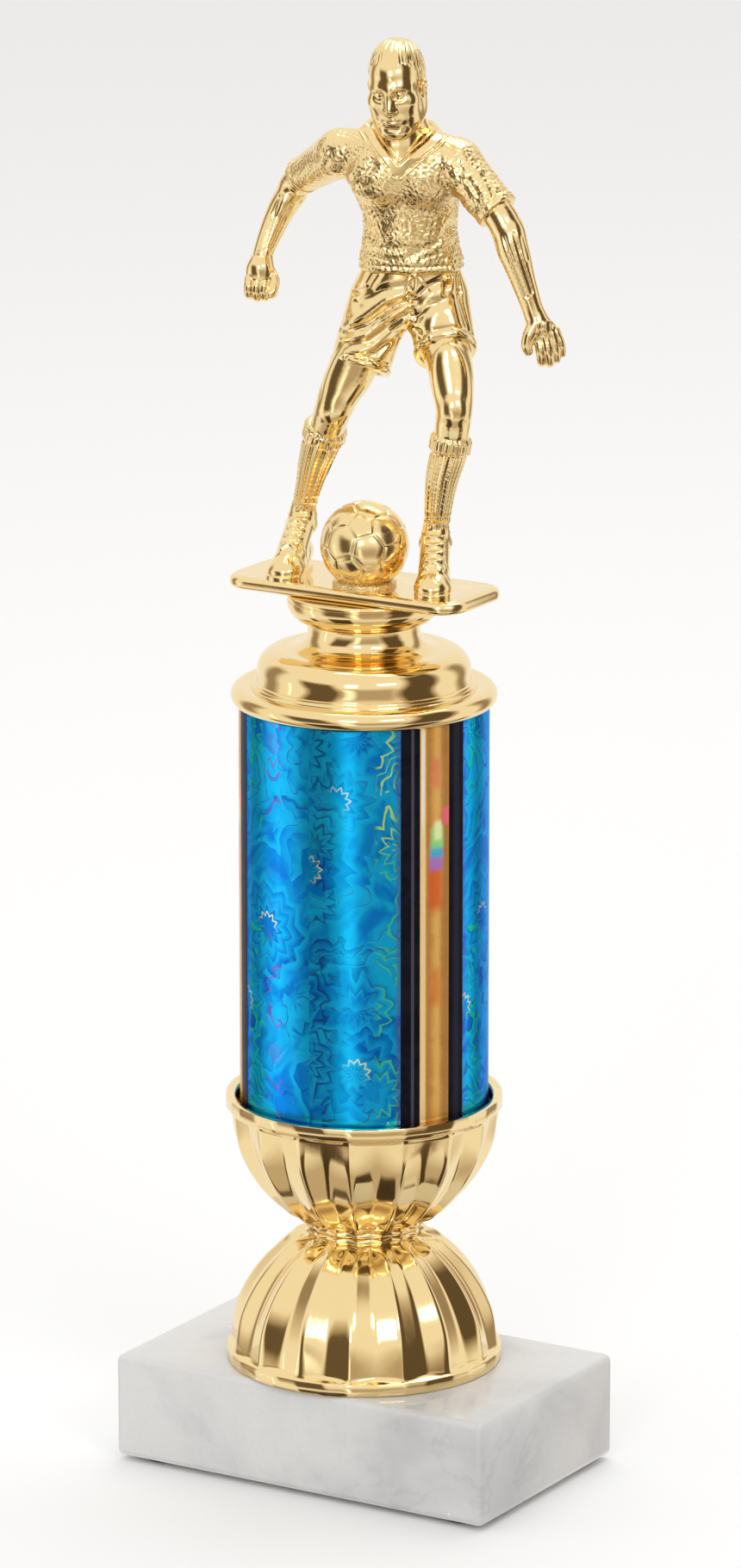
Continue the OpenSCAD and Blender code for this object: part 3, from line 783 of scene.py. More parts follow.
def makeBoss(b):
    foot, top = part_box("figure_boss")[0].z / mm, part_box("figure_boss")[1].z / mm
    wide = b["neckR"] + b["flare"]
    outline = [(b["pocketR"], foot), (b["neckR"] - 0.3, foot), (b["neckR"] - 0.05, foot + 0.05)]
    outline += arcPoints(b["neckR"], foot + b["flare"] + 0.1, b["flare"], -88, 0, 20)
    outline += [(wide - 0.02, foot + b["flare"] + 0.5), (wide - 0.2, foot + b["flare"] + 0.65),
                (wide - 0.2, foot + b["flare"] + 0.8), (wide, foot + b["flare"] + 0.95), (wide, top - 0.6)]
    outline += arcPoints(wide - 0.6, top - 0.6, 0.6, 15, 90, 5)
    outline += [(0.05, top), (0.05, foot + b["pocketDeep"]), (b["pocketR"], foot + b["pocketDeep"])]
    addPiece("figureBoss", lathe("figureBoss", outline, 192), "figure", ["figure_boss"], mirrorGold,
             crease=40)


makeBoss(boss)
report("boss")


plate = {"length": 55.0, "depth": 23.0, "height": 2.5, "corner": 6.0, "perCorner": 14}


def roundRect(length, depth, corner, perCorner):
    points = []
    for turn, (sx, sy) in zip((0, 90, 180, 270), ((1, 1), (-1, 1), (-1, -1), (1, -1))):
        centre = (sx * (length / 2 - corner), sy * (depth / 2 - corner))
        for angle in np.radians(np.linspace(turn, turn + 90, perCorner)):
            points.append((centre[0] + corner * math.cos(angle), centre[1] + corner * math.sin(angle)))
    return np.array(points)


figureNodes = ["figure_front", "figure_back"]


def makePlate(p, material):
    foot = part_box("figure_front")[0].z / mm
    rows = [(1.0, 0.0), (0.6, 0.05), (0.3, 0.2), (0.1, 0.45), (0, 0.8), (0, 1.02), (0.09, 1.07), (0.09, 1.14),
            (0, 1.19), (0.02, 1.45), (0.12, 1.82), (0.36, 2.16), (0.7, 2.38), (1.05, 2.47), (1.4, 2.5),
            (1.47, 2.45), (1.62, 2.45), (1.69, 2.5), (2.6, 2.5), (5.0, 2.5)]
    rings = []
    for inset, z in rows:
        corner = max(p["corner"] - inset, 0.8)
        xy = roundRect(p["length"] - 2 * inset, p["depth"] - 2 * inset, corner, p["perCorner"])
        rings.append(atHeight(xy, foot + z))
    mesh = weld(gridMesh("figurePlate", np.array(rings) * mm, capped=True))
    addPiece("figurePlate", mesh, "figure", figureNodes, material, crease=35)


makePlate(plate, makeGold("plateGold", goldPlate, peel=0.03))
report("plate")


football = {
    "x": 2.2, "y": -3.4, "radius": 9.0, "collarR": 6.5, "collarHigh": 1.0, "seam": 0.5, "seamDeep": 0.20,
    "turn": (18, -14, 37), "sink": 1.8,
}


def panelCorners():
    # corner directions and seams of a ball made of twelve pentagons and twenty hexagons
    golden = (1 + math.sqrt(5)) / 2
    base = []
    for a, b, c in ((0, 1, 3 * golden), (1, 2 + golden, 2 * golden), (golden, 2, 2 * golden + 1)):
        for sa in (1, -1):
            for sb in (1, -1):
                for sc in (1, -1):
                    x, y, z = sa * a, sb * b, sc * c
                    base += [(x, y, z), (y, z, x), (z, x, y)]
    corners = np.unique(np.round(np.array(base, dtype=float), 6), axis=0)
    gaps = np.linalg.norm(corners[:, None] - corners[None], axis=-1)
    pairs = np.argwhere((gaps > 0.1) & (gaps < 2.1))
    pairs = pairs[pairs[:, 0] < pairs[:, 1]]
    return corners / np.linalg.norm(corners, axis=1)[:, None], pairs


def makeFootball(b, material):
    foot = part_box("ball")[0].z / mm
    corners, pairs = panelCorners()
    spin = Matrix.Identity(3)
    for axis, turn in zip("ZYX", reversed(b["turn"])):
        spin = spin @ Matrix.Rotation(math.radians(turn), 3, axis)
    corners = corners @ np.array(spin).T
    work = bmesh.new()
    bmesh.ops.create_icosphere(work, subdivisions=7, radius=1.0)
    mesh = bpy.data.meshes.new("football")
    work.to_mesh(mesh)
    work.free()
    spots = np.empty(len(mesh.vertices) * 3, dtype=np.float32)
    mesh.vertices.foreach_get("co", spots)
    spots = spots.reshape(-1, 3).astype(float)
    spots /= np.linalg.norm(spots, axis=1)[:, None]
    nearest = np.full(len(spots), b["radius"])
    stitch = nearest.copy()
    for number, (i, j) in enumerate(pairs):
        a, c = corners[i], corners[j]
        chord = c - a
        t = np.clip((spots - a) @ chord / (chord @ chord), 0, 1)
        foot3 = a + t[:, None] * chord
        foot3 /= np.linalg.norm(foot3, axis=1)[:, None]
        away = np.linalg.norm(spots - foot3, axis=1) * b["radius"]
        nearest = np.minimum(nearest, away)
        if number % 3 == 0:
            # a row of stitch holes beside this seam
            count = 7
            step = (np.round(t * count - 0.5) + 0.5) / count
            along = (t - step) * np.linalg.norm(chord) * b["radius"]
            stitch = np.minimum(stitch, np.hypot(along, away - 0.55))
    groove = np.clip(1 - nearest / b["seam"], 0, 1)
    groove = groove * groove * (3 - 2 * groove)
    swell = np.clip(nearest / 1.6, 0, 1) * 0.07
    dots = np.clip(1 - stitch / 0.16, 0, 1) * 0.10
    radius = b["radius"] - 0.07 - b["seamDeep"] * groove + swell - dots
    spots = spots * radius[:, None]
    spots[:, 2] = np.maximum(spots[:, 2], b["sink"] - b["radius"] - 0.4)
    spots += (b["x"], b["y"], foot + b["collarHigh"] + b["radius"] - b["sink"])
    mesh.vertices.foreach_set("co", (spots * mm).astype(np.float32).ravel())
    mesh.update()
    addPiece("football", mesh, "figure", ["ball"], material, crease=60)

    outline = [(0.05, foot), (b["collarR"], foot), (b["collarR"], foot + 0.55), (b["collarR"] - 0.12, foot + 0.85),
               (b["collarR"] - 0.4, foot + b["collarHigh"]), (0.05, foot + b["collarHigh"])]
    collar = lathe("ballCollar", outline, 128)
    collar.transform(Matrix.Translation((b["x"] * mm, b["y"] * mm, 0)))
    rough = makeGold("groundGold", goldPlate, grain={"size": 0.5, "depth": 0.12, "rough": 0.1})
    addPiece("ballCollar", collar, "figure", ["ball"], rough)


makeFootball(football, makeGold("ballGold", {**goldPlate, "roughness": 0.15}, peel=0.06))
report("football")


inside = {
    "steel": {"colour": (0.58, 0.585, 0.60), "second": (0.40, 0.40, 0.41), "metallic": 1.0, "roughness": 0.26,
              "nodes": ["tie_rod", "bottom_washer", "bottom_nut", "lid_washer", "lid_nut"], "grain": 700.0,
              "bump": 0.02},
    "brass": {"colour": (0.66, 0.48, 0.18), "second": (0.44, 0.30, 0.10), "metallic": 1.0, "roughness": 0.3,
              "nodes": ["boss_insert"], "grain": 600.0, "bump": 0.02},
    "coreTube": {"colour": (0.42, 0.34, 0.24), "second": (0.33, 0.26, 0.18), "metallic": 0.0, "roughness": 0.75,
                 "nodes": ["column_core"], "grain": 500.0, "bump": 0.05},
    "blackFelt": {"colour": (0.016, 0.016, 0.018), "second": (0.035, 0.034, 0.034), "metallic": 0.0,
                  "roughness": 0.95, "nodes": ["felt_pads"], "grain": 2200.0, "bump": 0.25},
}


def makeInside(parts):
    for name, p in parts.items():
        material, tree, shader = newMaterial(name)
        grain = noise(tree, objectPlace(tree), p["grain"], 3.0)[0]
        marks = placed(tree, handledSurface)
        colour = blendColour(tree, ease(tree, grain, 0.3, 0.7), p["colour"], p["second"])
        colour = blendColour(tree, times(tree, marks["Rub"], 0.4), colour, p["colour"])
        rough = plus(tree, times(tree, marks["Smudge"], 0.12), p["roughness"])
        setInputs(tree, shader, {"Base Color": colour, "Metallic": p["metallic"], "Roughness": rough,
                                 "Normal": bumped(tree, grain, 0.6, p["bump"] * mm)})
        for node in p["nodes"]:
            mesh = bpy.data.objects[node].data
            mesh.materials.clear()
            mesh.materials.append(material)


makeInside(inside)
report("inner parts")


# the player is shaped in its own space: x to the viewer's right, y away from the viewer, z up from the plate, in mm

emptyValue = 9.0  # mm, the distance that a field without a shape holds


def newField(low, high, step):
    axes = [np.arange(low[i], high[i] + step, step, dtype=np.float32) for i in range(3)]
    return {"low": np.array(low, dtype=float), "step": step, "axes": axes,
            "value": np.full([len(axis) for axis in axes], emptyValue, dtype=np.float32)}


def openAxes(field):
    # the x, y and z of every cell, each along its own dimension, ready to be combined
    return [axis.reshape([-1 if i == j else 1 for j in range(3)]) for i, axis in enumerate(field["axes"])]


def near(field, points, reach):
    # the slices and coordinates of the part of a field that lies round some points
    low, high = np.min(points, axis=0) - reach, np.max(points, axis=0) + reach
    slices, spots = [], []
    for i, axis in enumerate(field["axes"]):
        first = int(max(0, (low[i] - field["low"][i]) / field["step"]))
        last = int(max(first, min(len(axis), (high[i] - field["low"][i]) / field["step"] + 2)))
        slices.append(slice(first, last))
        shape = [1, 1, 1]
        shape[i] = -1
        spots.append(axis[first:last].reshape(shape))
    return tuple(slices), spots


def smoothMin(a, b, soft):
    h = np.clip(0.5 + 0.5 * (b - a) / soft, 0, 1)
    return b * (1 - h) + a * h - soft * h * (1 - h)


def smoothStep(value, low, high):
    t = np.clip((value - low) / (high - low), 0, 1)
    return t * t * (3 - 2 * t)


def combine(field, slices, distance, soft, carve=False):
    old = field["value"][slices]
    if carve:
        field["value"][slices] = -smoothMin(-old, distance, soft)
    else:
        field["value"][slices] = smoothMin(old, distance, soft)


def press(field, amount, part=...):
    # moves the surface inwards by so many millimetres, or outwards when the amount is negative
    field["value"][part] += amount.astype(np.float32)


def cutAway(field, kept, soft):
    # keeps only the side where the distance is negative
    field["value"] = -smoothMin(-field["value"], -kept, soft)


def bell(value, width):
    return np.exp(-(value / width) ** 2)


def coneDistance(spots, a, ra, b, rb):
    ab = np.subtract(b, a).astype(float)
    away = [spots[i] - a[i] for i in range(3)]
    t = np.clip((away[0] * ab[0] + away[1] * ab[1] + away[2] * ab[2]) / (ab @ ab), 0, 1)
    gap = (away[0] - t * ab[0]) ** 2 + (away[1] - t * ab[1]) ** 2 + (away[2] - t * ab[2]) ** 2
    return np.sqrt(gap) - (ra + t * (rb - ra))


def limb(field, a, ra, b, rb, soft=1.0, carve=False):
    slices, spots = near(field, [a, b], max(ra, rb) + soft + 2)
    combine(field, slices, coneDistance(spots, a, ra, b, rb), soft, carve)


def smoothCourse(stops, parts=5):
    # a rounded course through rows of x, y, z, radius
    table = np.array(stops, dtype=float)
    if len(table) < 3:
        return table
    ends = np.vstack([2 * table[0] - table[1], table, 2 * table[-1] - table[-2]])
    course = []
    for a, b, c, d in zip(ends[:-3], ends[1:-2], ends[2:-1], ends[3:]):
        for t in np.arange(parts) / parts:
            course.append(0.5 * (2 * b + (c - a) * t + (2 * a - 5 * b + 4 * c - d) * t ** 2
                                 + (3 * b - a - 3 * c + d) * t ** 3))
    return np.array(course + [table[-1]])


def chain(field, stops, soft=1.0, carve=False):
    # the limbs of one chain meet without a bulge, then the whole blends into the field
    course = smoothCourse(stops)
    if not carve:
        slices, spots = near(field, course[:, :3], course[:, 3].max() + soft + 2)
        whole = None
        for one, two in zip(course[:-1], course[1:]):
            distance = coneDistance(spots, one[:3], one[3], two[:3], two[3])
            whole = distance if whole is None else smoothMin(whole, distance, 0.06)
        combine(field, slices, whole, soft)
        return
    for one, two in zip(course[:-1], course[1:]):
        limb(field, one[:3], one[3], two[:3], two[3], soft, carve)


def lump(field, centre, radii, soft=1.0, carve=False, roll=0.0):
    # an ellipsoid, rolled in the plane that faces the viewer
    slices, spots = near(field, [centre], max(radii) + soft + 2)
    x, y, z = (spots[i] - centre[i] for i in range(3))
    cos, sin = math.cos(math.radians(roll)), math.sin(math.radians(roll))
    across, up = x * cos + z * sin, z * cos - x * sin
    k0 = np.sqrt((across / radii[0]) ** 2 + (y / radii[1]) ** 2 + (up / radii[2]) ** 2)
    k1 = np.sqrt((across / radii[0] ** 2) ** 2 + (y / radii[1] ** 2) ** 2 + (up / radii[2] ** 2) ** 2)
    combine(field, slices, k0 * (k0 - 1) / np.maximum(k1, 1e-4), soft, carve)


def stack(field, rows, soft=1.0, power=2.0):
    # rows: height, left, right, middle depth, half depth; a body of smooth oval sections
    table = np.array(rows, dtype=float)
    middle, half = (table[:, 1] + table[:, 2]) / 2, (table[:, 2] - table[:, 1]) / 2
    reach = [(table[:, 1].min() - 2, (table[:, 3] - table[:, 4]).min() - 2, table[0, 0] - 1),
             (table[:, 2].max() + 2, (table[:, 3] + table[:, 4]).max() + 2, table[-1, 0] + 1)]
    slices, (x, y, z) = near(field, reach, 1.0)
    centreX, wide, centreY, deep = (np.interp(z, table[:, 0], column).astype(np.float32)
                                    for column in (middle, half, table[:, 3], table[:, 4]))
    k = (np.abs((x - centreX) / wide) ** power + np.abs((y - centreY) / deep) ** power) ** (1 / power)
    side = (k - 1) * np.minimum(wide, deep)
    ends = np.maximum(table[0, 0] - z, z - table[-1, 0])
    combine(field, slices, -smoothMin(-side, -ends, 0.8), soft)


def lineDistance(spots, points, flat):
    # distance to a chain of points, seen from the front when flat
    keep = (0, 2) if flat else (0, 1, 2)
    best = None
    for a, b in zip(points[:-1], points[1:]):
        ab = [b[i] - a[i] for i in range(len(a))]
        away = [spots[axis] - a[i] for i, axis in enumerate(keep)]
        t = np.clip(sum(p * q for p, q in zip(away, ab)) / sum(q * q for q in ab), 0, 1)
        gap = np.sqrt(sum((p - t * q) ** 2 for p, q in zip(away, ab)))
        best = gap if best is None else np.minimum(best, gap)
    return best


def crease(field, points, width, depth, side=(-30, 0)):
    # presses a line into the surface, or raises it when depth is negative, between two depths
    slices, spots = near(field, [(p[0], side[0], p[1]) for p in points] + [(p[0], side[1], p[1]) for p in points],
                         (3 * width, 0.5, 3 * width))
    if 0 in field["value"][slices].shape:
        return
    gap = lineDistance(spots, points, True)
    within = smoothStep(spots[1], side[1], side[1] - 1.5) * smoothStep(spots[1], side[0], side[0] + 1.5)
    field["value"][slices] += depth * bell(gap, width) * within


def cutPlane(field, centre, normal, soft=0.3):
    # removes everything on the side that the normal points to
    n = np.array(normal) / np.linalg.norm(normal)
    x, y, z = openAxes(field)
    plane = (x - centre[0]) * n[0] + (y - centre[1]) * n[1] + (z - centre[2]) * n[2]
    cutAway(field, plane.astype(np.float32), soft)
    return plane


def toRow(spots, top):
    cos, sin = math.cos(turnRad), math.sin(turnRad)
    x, y = spots[:, 0] * cos - spots[:, 1] * sin, spots[:, 0] * sin + spots[:, 1] * cos
    return np.column_stack([x, y, spots[:, 2] + top])


def skin(name, field, smooth=1, place=None):
    # meshes the zero surface, relaxes it a little and puts it into the shared frame
    grid = openvdb.FloatGrid()
    grid.copyFromArray(field["value"])
    spots, _, quads = grid.convertToPolygons(0.0, 0.0)
    spots = spots.astype(float)
    edges = np.concatenate([quads[:, [0, 1]], quads[:, [1, 2]], quads[:, [2, 3]],
                            quads[:, [3, 0]]]).astype(np.int64)
    edges = np.concatenate([edges, edges[:, ::-1]])
    count = np.maximum(np.bincount(edges[:, 0], minlength=len(spots)), 1)
    for _ in range(smooth):
        mean = np.column_stack([np.bincount(edges[:, 0], weights=spots[edges[:, 1], i], minlength=len(spots))
                                for i in range(3)]) / count[:, None]
        spots = 0.45 * spots + 0.55 * mean
    spots = field["low"] + spots * field["step"]
    a, b, c, d = (spots[quads[:, i]] for i in range(4))
    if np.einsum("ij,ij->", a, np.cross(b, c)) + np.einsum("ij,ij->", a, np.cross(c, d)) < 0:
        quads = quads[:, ::-1]
    if place is not None:
        spots = place(spots)
    spots = toRow(spots, plateTop) * mm
    mesh = bpy.data.meshes.new(name)
    mesh.vertices.add(len(spots))
    mesh.vertices.foreach_set("co", spots.astype(np.float32).ravel())
    mesh.loops.add(quads.size)
    mesh.loops.foreach_set("vertex_index", quads.ravel().astype(np.int32))
    mesh.polygons.add(len(quads))
    mesh.polygons.foreach_set("loop_start", np.arange(0, quads.size, 4, dtype=np.int32))
    mesh.update(calc_edges=True)
    mesh.validate()
    return mesh


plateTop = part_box("figure_front")[0].z / mm + plate["height"]
playerGold = makeGold("playerGold", {**goldPlate, "roughness": 0.09}, peel=0.03)


def addPlayerPiece(name, field, material, smooth=1, place=None):
    obj = addPiece(name, skin(name, field, smooth, place), "figure", figureNodes, material,
                   crease=70)
    report(f"{name}, {len(obj.data.polygons)} faces")
    return obj


jersey = {
    "step": 0.2, "bandStep": 0.16,
    "stipple": {"size": 0.74, "spread": (0.8, 1.35), "depth": 0.066, "waves": 16, "seed": 11, "shell": 0.8},
    # sections: height, left, right, middle depth, half depth; folds: (across, height) points, width, depth
    "sections": [
        (63.6, -0.1, 19.3, -0.4, 6.3), (64.6, -0.7, 20.0, -0.4, 6.8), (66.0, -0.9, 20.1, -0.4, 6.9),
        (68.8, -0.5, 19.1, -0.6, 6.3), (72.6, -0.1, 18.6, -1.0, 6.0), (75.5, -0.3, 18.8, -1.6, 6.2),
        (80.5, -2.7, 19.4, -2.4, 6.9), (84.0, -3.4, 19.5, -3.1, 7.0), (88.0, -2.2, 18.6, -3.6, 6.3),
        (91.0, 0.4, 15.9, -3.8, 5.0), (92.8, 2.4, 12.9, -3.8, 4.2),
    ],
    "rightShoulder": (-4.6, 0.6, 87.2), "rightHem": (-12.7, 11.4, 80.5),
    "leftShoulder": (18.4, -5.5, 86.0), "leftHem": (26.7, -11.6, 77.4),
    "folds": [
        ([(1.5, 71.0), (6.0, 69.2), (11.0, 69.6)], 0.9, 0.35),
        ([(18.4, 73.5), (13.5, 70.0), (9.0, 67.6)], 0.8, 0.42),
        ([(18.8, 70.2), (15.0, 68.2), (11.5, 67.2)], 0.6, 0.30),
        ([(0.2, 68.0), (4.0, 67.0), (7.5, 67.2)], 0.6, 0.25),
        ([(-2.6, 81.5), (0.2, 83.6), (2.0, 86.6)], 0.8, 0.38),
        ([(19.4, 79.5), (17.0, 81.8), (15.4, 85.2)], 0.8, 0.40),
        ([(-1.2, 79.6), (3.0, 77.4), (8.0, 77.9), (13.0, 76.8), (17.8, 78.8)], 1.9, 0.30),
        ([(8.0, 79.6), (7.8, 82.5)], 1.6, 0.12), ([(20.6, 84.0), (22.6, 81.2), (22.8, 78.0)], 0.6, 0.30),
        ([(23.8, 85.0), (25.4, 82.0), (25.6, 79.2)], 0.5, 0.24),
        ([(-6.6, 88.0), (-7.6, 85.0), (-7.2, 83.2)], 0.6, 0.28),
        ([(-9.6, 87.0), (-10.6, 84.2), (-10.0, 82.0)], 0.5, 0.22),
        ([(17.2, 89.4), (19.2, 86.0), (18.8, 82.0)], 0.7, 0.26),
    ],
    "neckline": [(0.5, 92.9), (2.8, 89.9), (6.7, 85.2), (10.9, 88.8), (14.9, 91.9)],
}


def sleeveField(low, high, step, shoulder, hem, shoulderR, hemR):
    # a sleeve ends in a clean cut with a narrow plain hem
    field = newField(low, high, step)
    run = np.subtract(hem, shoulder)
    run = run / np.linalg.norm(run)
    limb(field, shoulder, shoulderR, tuple(np.add(hem, run * 2.5)), hemR, 0.5)
    plane = cutPlane(field, hem, run, 0.35)
    band = smoothStep(plane, -1.75, -1.55) * smoothStep(plane, 0.1, -0.25)
    press(field, 0.16 * bell(plane + 1.8, 0.22) - 0.22 * band)
    return field


def stipple(field, s):
    # a pressed leather grain: many short waves in random directions, only near the surface
    rng = np.random.default_rng(s["seed"])
    shell = np.nonzero(np.abs(field["value"]) < s["shell"])
    spots = np.stack([axis[index] for axis, index in zip(field["axes"], shell)])
    total = np.zeros(spots.shape[1], dtype=np.float32)
    for _ in range(s["waves"]):
        direction = rng.normal(size=3)
        direction *= 2 * math.pi / (s["size"] * rng.uniform(*s["spread"]) * np.linalg.norm(direction))
        total += np.sin(direction.astype(np.float32) @ spots + np.float32(rng.uniform(0, 6.28)))
    total /= math.sqrt(s["waves"] / 2)
    field["value"][shell] += s["depth"] * np.tanh(1.6 * total) * smoothStep(spots[2], 63.9, 64.9)


def makeNeckband(j, plain, low, step):
    # a wide smooth band with a thin ridge outside it, laid over the plain jersey's surface
    band = newField((-2.5, -14, 82), (17.5, 7, 96), j["bandStep"])
    slices, spots = near(band, [(-2, -14, 82), (17, 7, 96)], 0.5)
    coarse = [np.clip(((spots[i] - low[i]) / step), 0, plain.shape[i] - 2) for i in range(3)]
    index = [c.astype(int) for c in coarse]
    share = [(c - n).astype(np.float32) for c, n in zip(coarse, index)]
    body = np.zeros(band["value"][slices].shape, dtype=np.float32)
    for corner in np.ndindex(2, 2, 2):
        weight = 1.0
        for i in range(3):
            weight = weight * (share[i] if corner[i] else 1 - share[i])
        body += plain[index[0] + corner[0], index[1] + corner[1], index[2] + corner[2]] * weight
    front = lineDistance(spots, j["neckline"], True) + np.maximum(spots[1] + 1.5, 0)
    ring = [(0.5, -1.6, 92.8), (1.6, 1.6, 93.4), (5.0, 3.2, 93.6), (9.6, 3.0, 93.5), (13.4, 0.6, 93.0),
            (14.9, -3.2, 91.9)]
    around = lineDistance(spots, ring, False)
    along = np.minimum(front, around)
    wide = -smoothMin(-(along - 0.85), -(body - 0.30), 0.25)
    outer = -smoothMin(-(np.abs(along - 1.45) - 0.26), -(body - 0.26), 0.2)
    both = smoothMin(wide, outer, 0.1)
    both = np.minimum(both, around - 0.8)
    band["value"][slices] = np.maximum(both, -(body + 1.0))
    addPlayerPiece("neckband", band, playerGold)


def makeJersey(j):
    low, high, step = (-18, -17, 62), (31, 17, 95.5), j["step"]
    field = newField(low, high, step)
    stack(field, j["sections"], 0.5, 2.25)
    lump(field, (2.8, -6.6, 83.0), (5.6, 3.0, 4.4), 2.6)
    lump(field, (13.4, -6.8, 82.6), (5.4, 3.0, 4.4), 2.6)
    lump(field, (8.4, 3.2, 85.0), (9.0, 3.0, 6.5), 2.5)
    lump(field, (9.5, -5.6, 71.0), (6.5, 2.2, 5.0), 2.0)
    chain(field, [(-5.0, 0.5, 87.0, 4.6), (0.5, -1.8, 88.6, 4.0), (5.0, -3.0, 89.4, 3.6)], 2.0)
    chain(field, [(18.4, -5.5, 86.0, 5.0), (13.5, -4.4, 88.2, 4.2), (9.5, -3.6, 89.2, 3.6)], 2.0)
    for shoulder, hem, shoulderR, hemR in ((j["rightShoulder"], j["rightHem"], 4.9, 3.35),
                                           (j["leftShoulder"], j["leftHem"], 5.2, 4.0)):
        sleeve = sleeveField(low, high, step, shoulder, hem, shoulderR, hemR)
        field["value"] = smoothMin(field["value"], sleeve["value"], 1.0)
    for points, width, depth in j["folds"]:
        crease(field, points, width, depth, (-20, -1))
    for points in ([(1.0, 88.0), (4.5, 80.0), (3.5, 72.0)], [(15.5, 87.0), (12.5, 80.0), (14.0, 72.0)],
                   [(8.2, 90.0), (8.4, 76.0), (9.4, 67.0)]):
        crease(field, points, 1.3, 0.45, (1, 14))
    # the lowest edge is a rolled hem
    slices, (x, y, z) = near(field, [(-3, -12, 63), (23, 12, 67)], 0.5)
    press(field, 0.20 * bell(z - 65.5, 0.25) - 0.10 * bell(z - 64.5, 0.7)
          + 0.16 * np.sin(x * 0.75 + y * 0.4) * smoothStep(z, 70, 64), slices)
    plain = field["value"].copy()
    # the open neck, seen from the front
    slices, (x, y, z) = near(field, [(0, -14, 84), (15, -1, 96)], 0.5)
    edge = np.interp(x, [p[0] for p in j["neckline"]], [p[1] for p in j["neckline"]])
    inside = np.maximum((edge - z) * 0.75, y + 2.5).astype(np.float32)
    field["value"][slices] = -smoothMin(-field["value"][slices], inside + 0 * field["value"][slices], 0.2)
    pressed = makeGold("jerseyGold", {**goldPlate, "roughness": 0.19}, peel=0.10)
    stipple(field, j["stipple"])
    addPlayerPiece("jersey", field, pressed)
    makeNeckband(j, plain, low, step)


makeJersey(jersey)


shorts = {
    "step": 0.24,
    "sections": [
        (51.0, 4.5, 13.5, 1.4, 4.6), (52.2, 0.2, 17.8, 1.2, 5.8), (54.6, -3.2, 20.6, 0.8, 6.4),
        (59.5, -2.4, 20.2, 0.4, 6.6), (64.4, -0.5, 19.3, -0.2, 6.2), (66.5, 0.6, 18.4, -0.4, 5.6),
    ],
    "rightAxis": [(4.2, 1.6, 58.0, 6.7), (1.4, 1.2, 51.0, 6.3), (-1.5, 0.8, 41.0, 6.0)],
    "leftAxis": [(14.4, 0.2, 58.0, 6.6), (15.8, -2.4, 51.0, 6.3), (16.9, -5.8, 43.0, 5.9)],
    "rightHem": ((-1.2, 0.5, 43.4), (-0.28, -0.32, -1.0)), "leftHem": ((16.6, -5.0, 48.2), (0.20, -0.95, -1.0)),
    "folds": [
        ([(9.2, 58.6), (5.0, 56.6), (0.8, 53.2), (-3.8, 51.0)], 1.05, 0.86),
        ([(9.0, 55.8), (5.4, 53.4), (1.2, 50.0), (-4.4, 48.6)], 0.98, 0.80),
        ([(8.8, 53.2), (6.0, 50.6), (2.0, 47.4), (-3.0, 46.4)], 0.91, 0.69),
        ([(8.4, 61.4), (3.6, 60.4), (-1.0, 57.4)], 0.98, 0.63),
        ([(8.0, 52.4), (6.8, 50.0)], 0.84, 0.40), ([(3.0, 63.6), (1.2, 60.6), (-1.6, 59.2)], 0.84, 0.46),
        ([(10.4, 59.0), (13.0, 61.4), (16.6, 62.6)], 0.98, 0.57),
        ([(10.6, 55.0), (13.6, 57.6), (18.4, 59.4)], 0.98, 0.52),
        ([(18.6, 63.4), (19.0, 58.0), (20.6, 52.6)], 0.49, 0.40),
        ([(11.0, 52.0), (12.4, 49.6), (12.4, 47.0)], 0.84, 0.46),
        ([(9.4, 63.0), (9.2, 58.0), (8.6, 51.0)], 0.56, 0.46), ([(17.0, 63.6), (16.2, 60.0)], 0.70, 0.34),
    ],
    "ridges": [([(8.8, 57.2), (4.6, 54.8), (0.4, 51.4), (-4.2, 49.8)], 0.83, -0.42),
               ([(8.8, 54.5), (5.4, 52.0), (1.4, 48.7), (-3.8, 47.4)], 0.75, -0.42),
               ([(8.9, 60.0), (4.4, 58.6), (0.2, 55.4), (-2.8, 53.6)], 0.90, -0.42)],
}


def legTube(low, high, step, stops, hem):
    # one leg of the shorts, cut off along its hem, with a thick rolled edge
    field = newField(low, high, step)
    chain(field, stops, 0.8)
    plane = cutPlane(field, hem[0], hem[1], 0.5)
    press(field, bell(plane + 1.75, 0.28) * 0.30 - bell(plane + 0.75, 0.6) * 0.30)
    return field


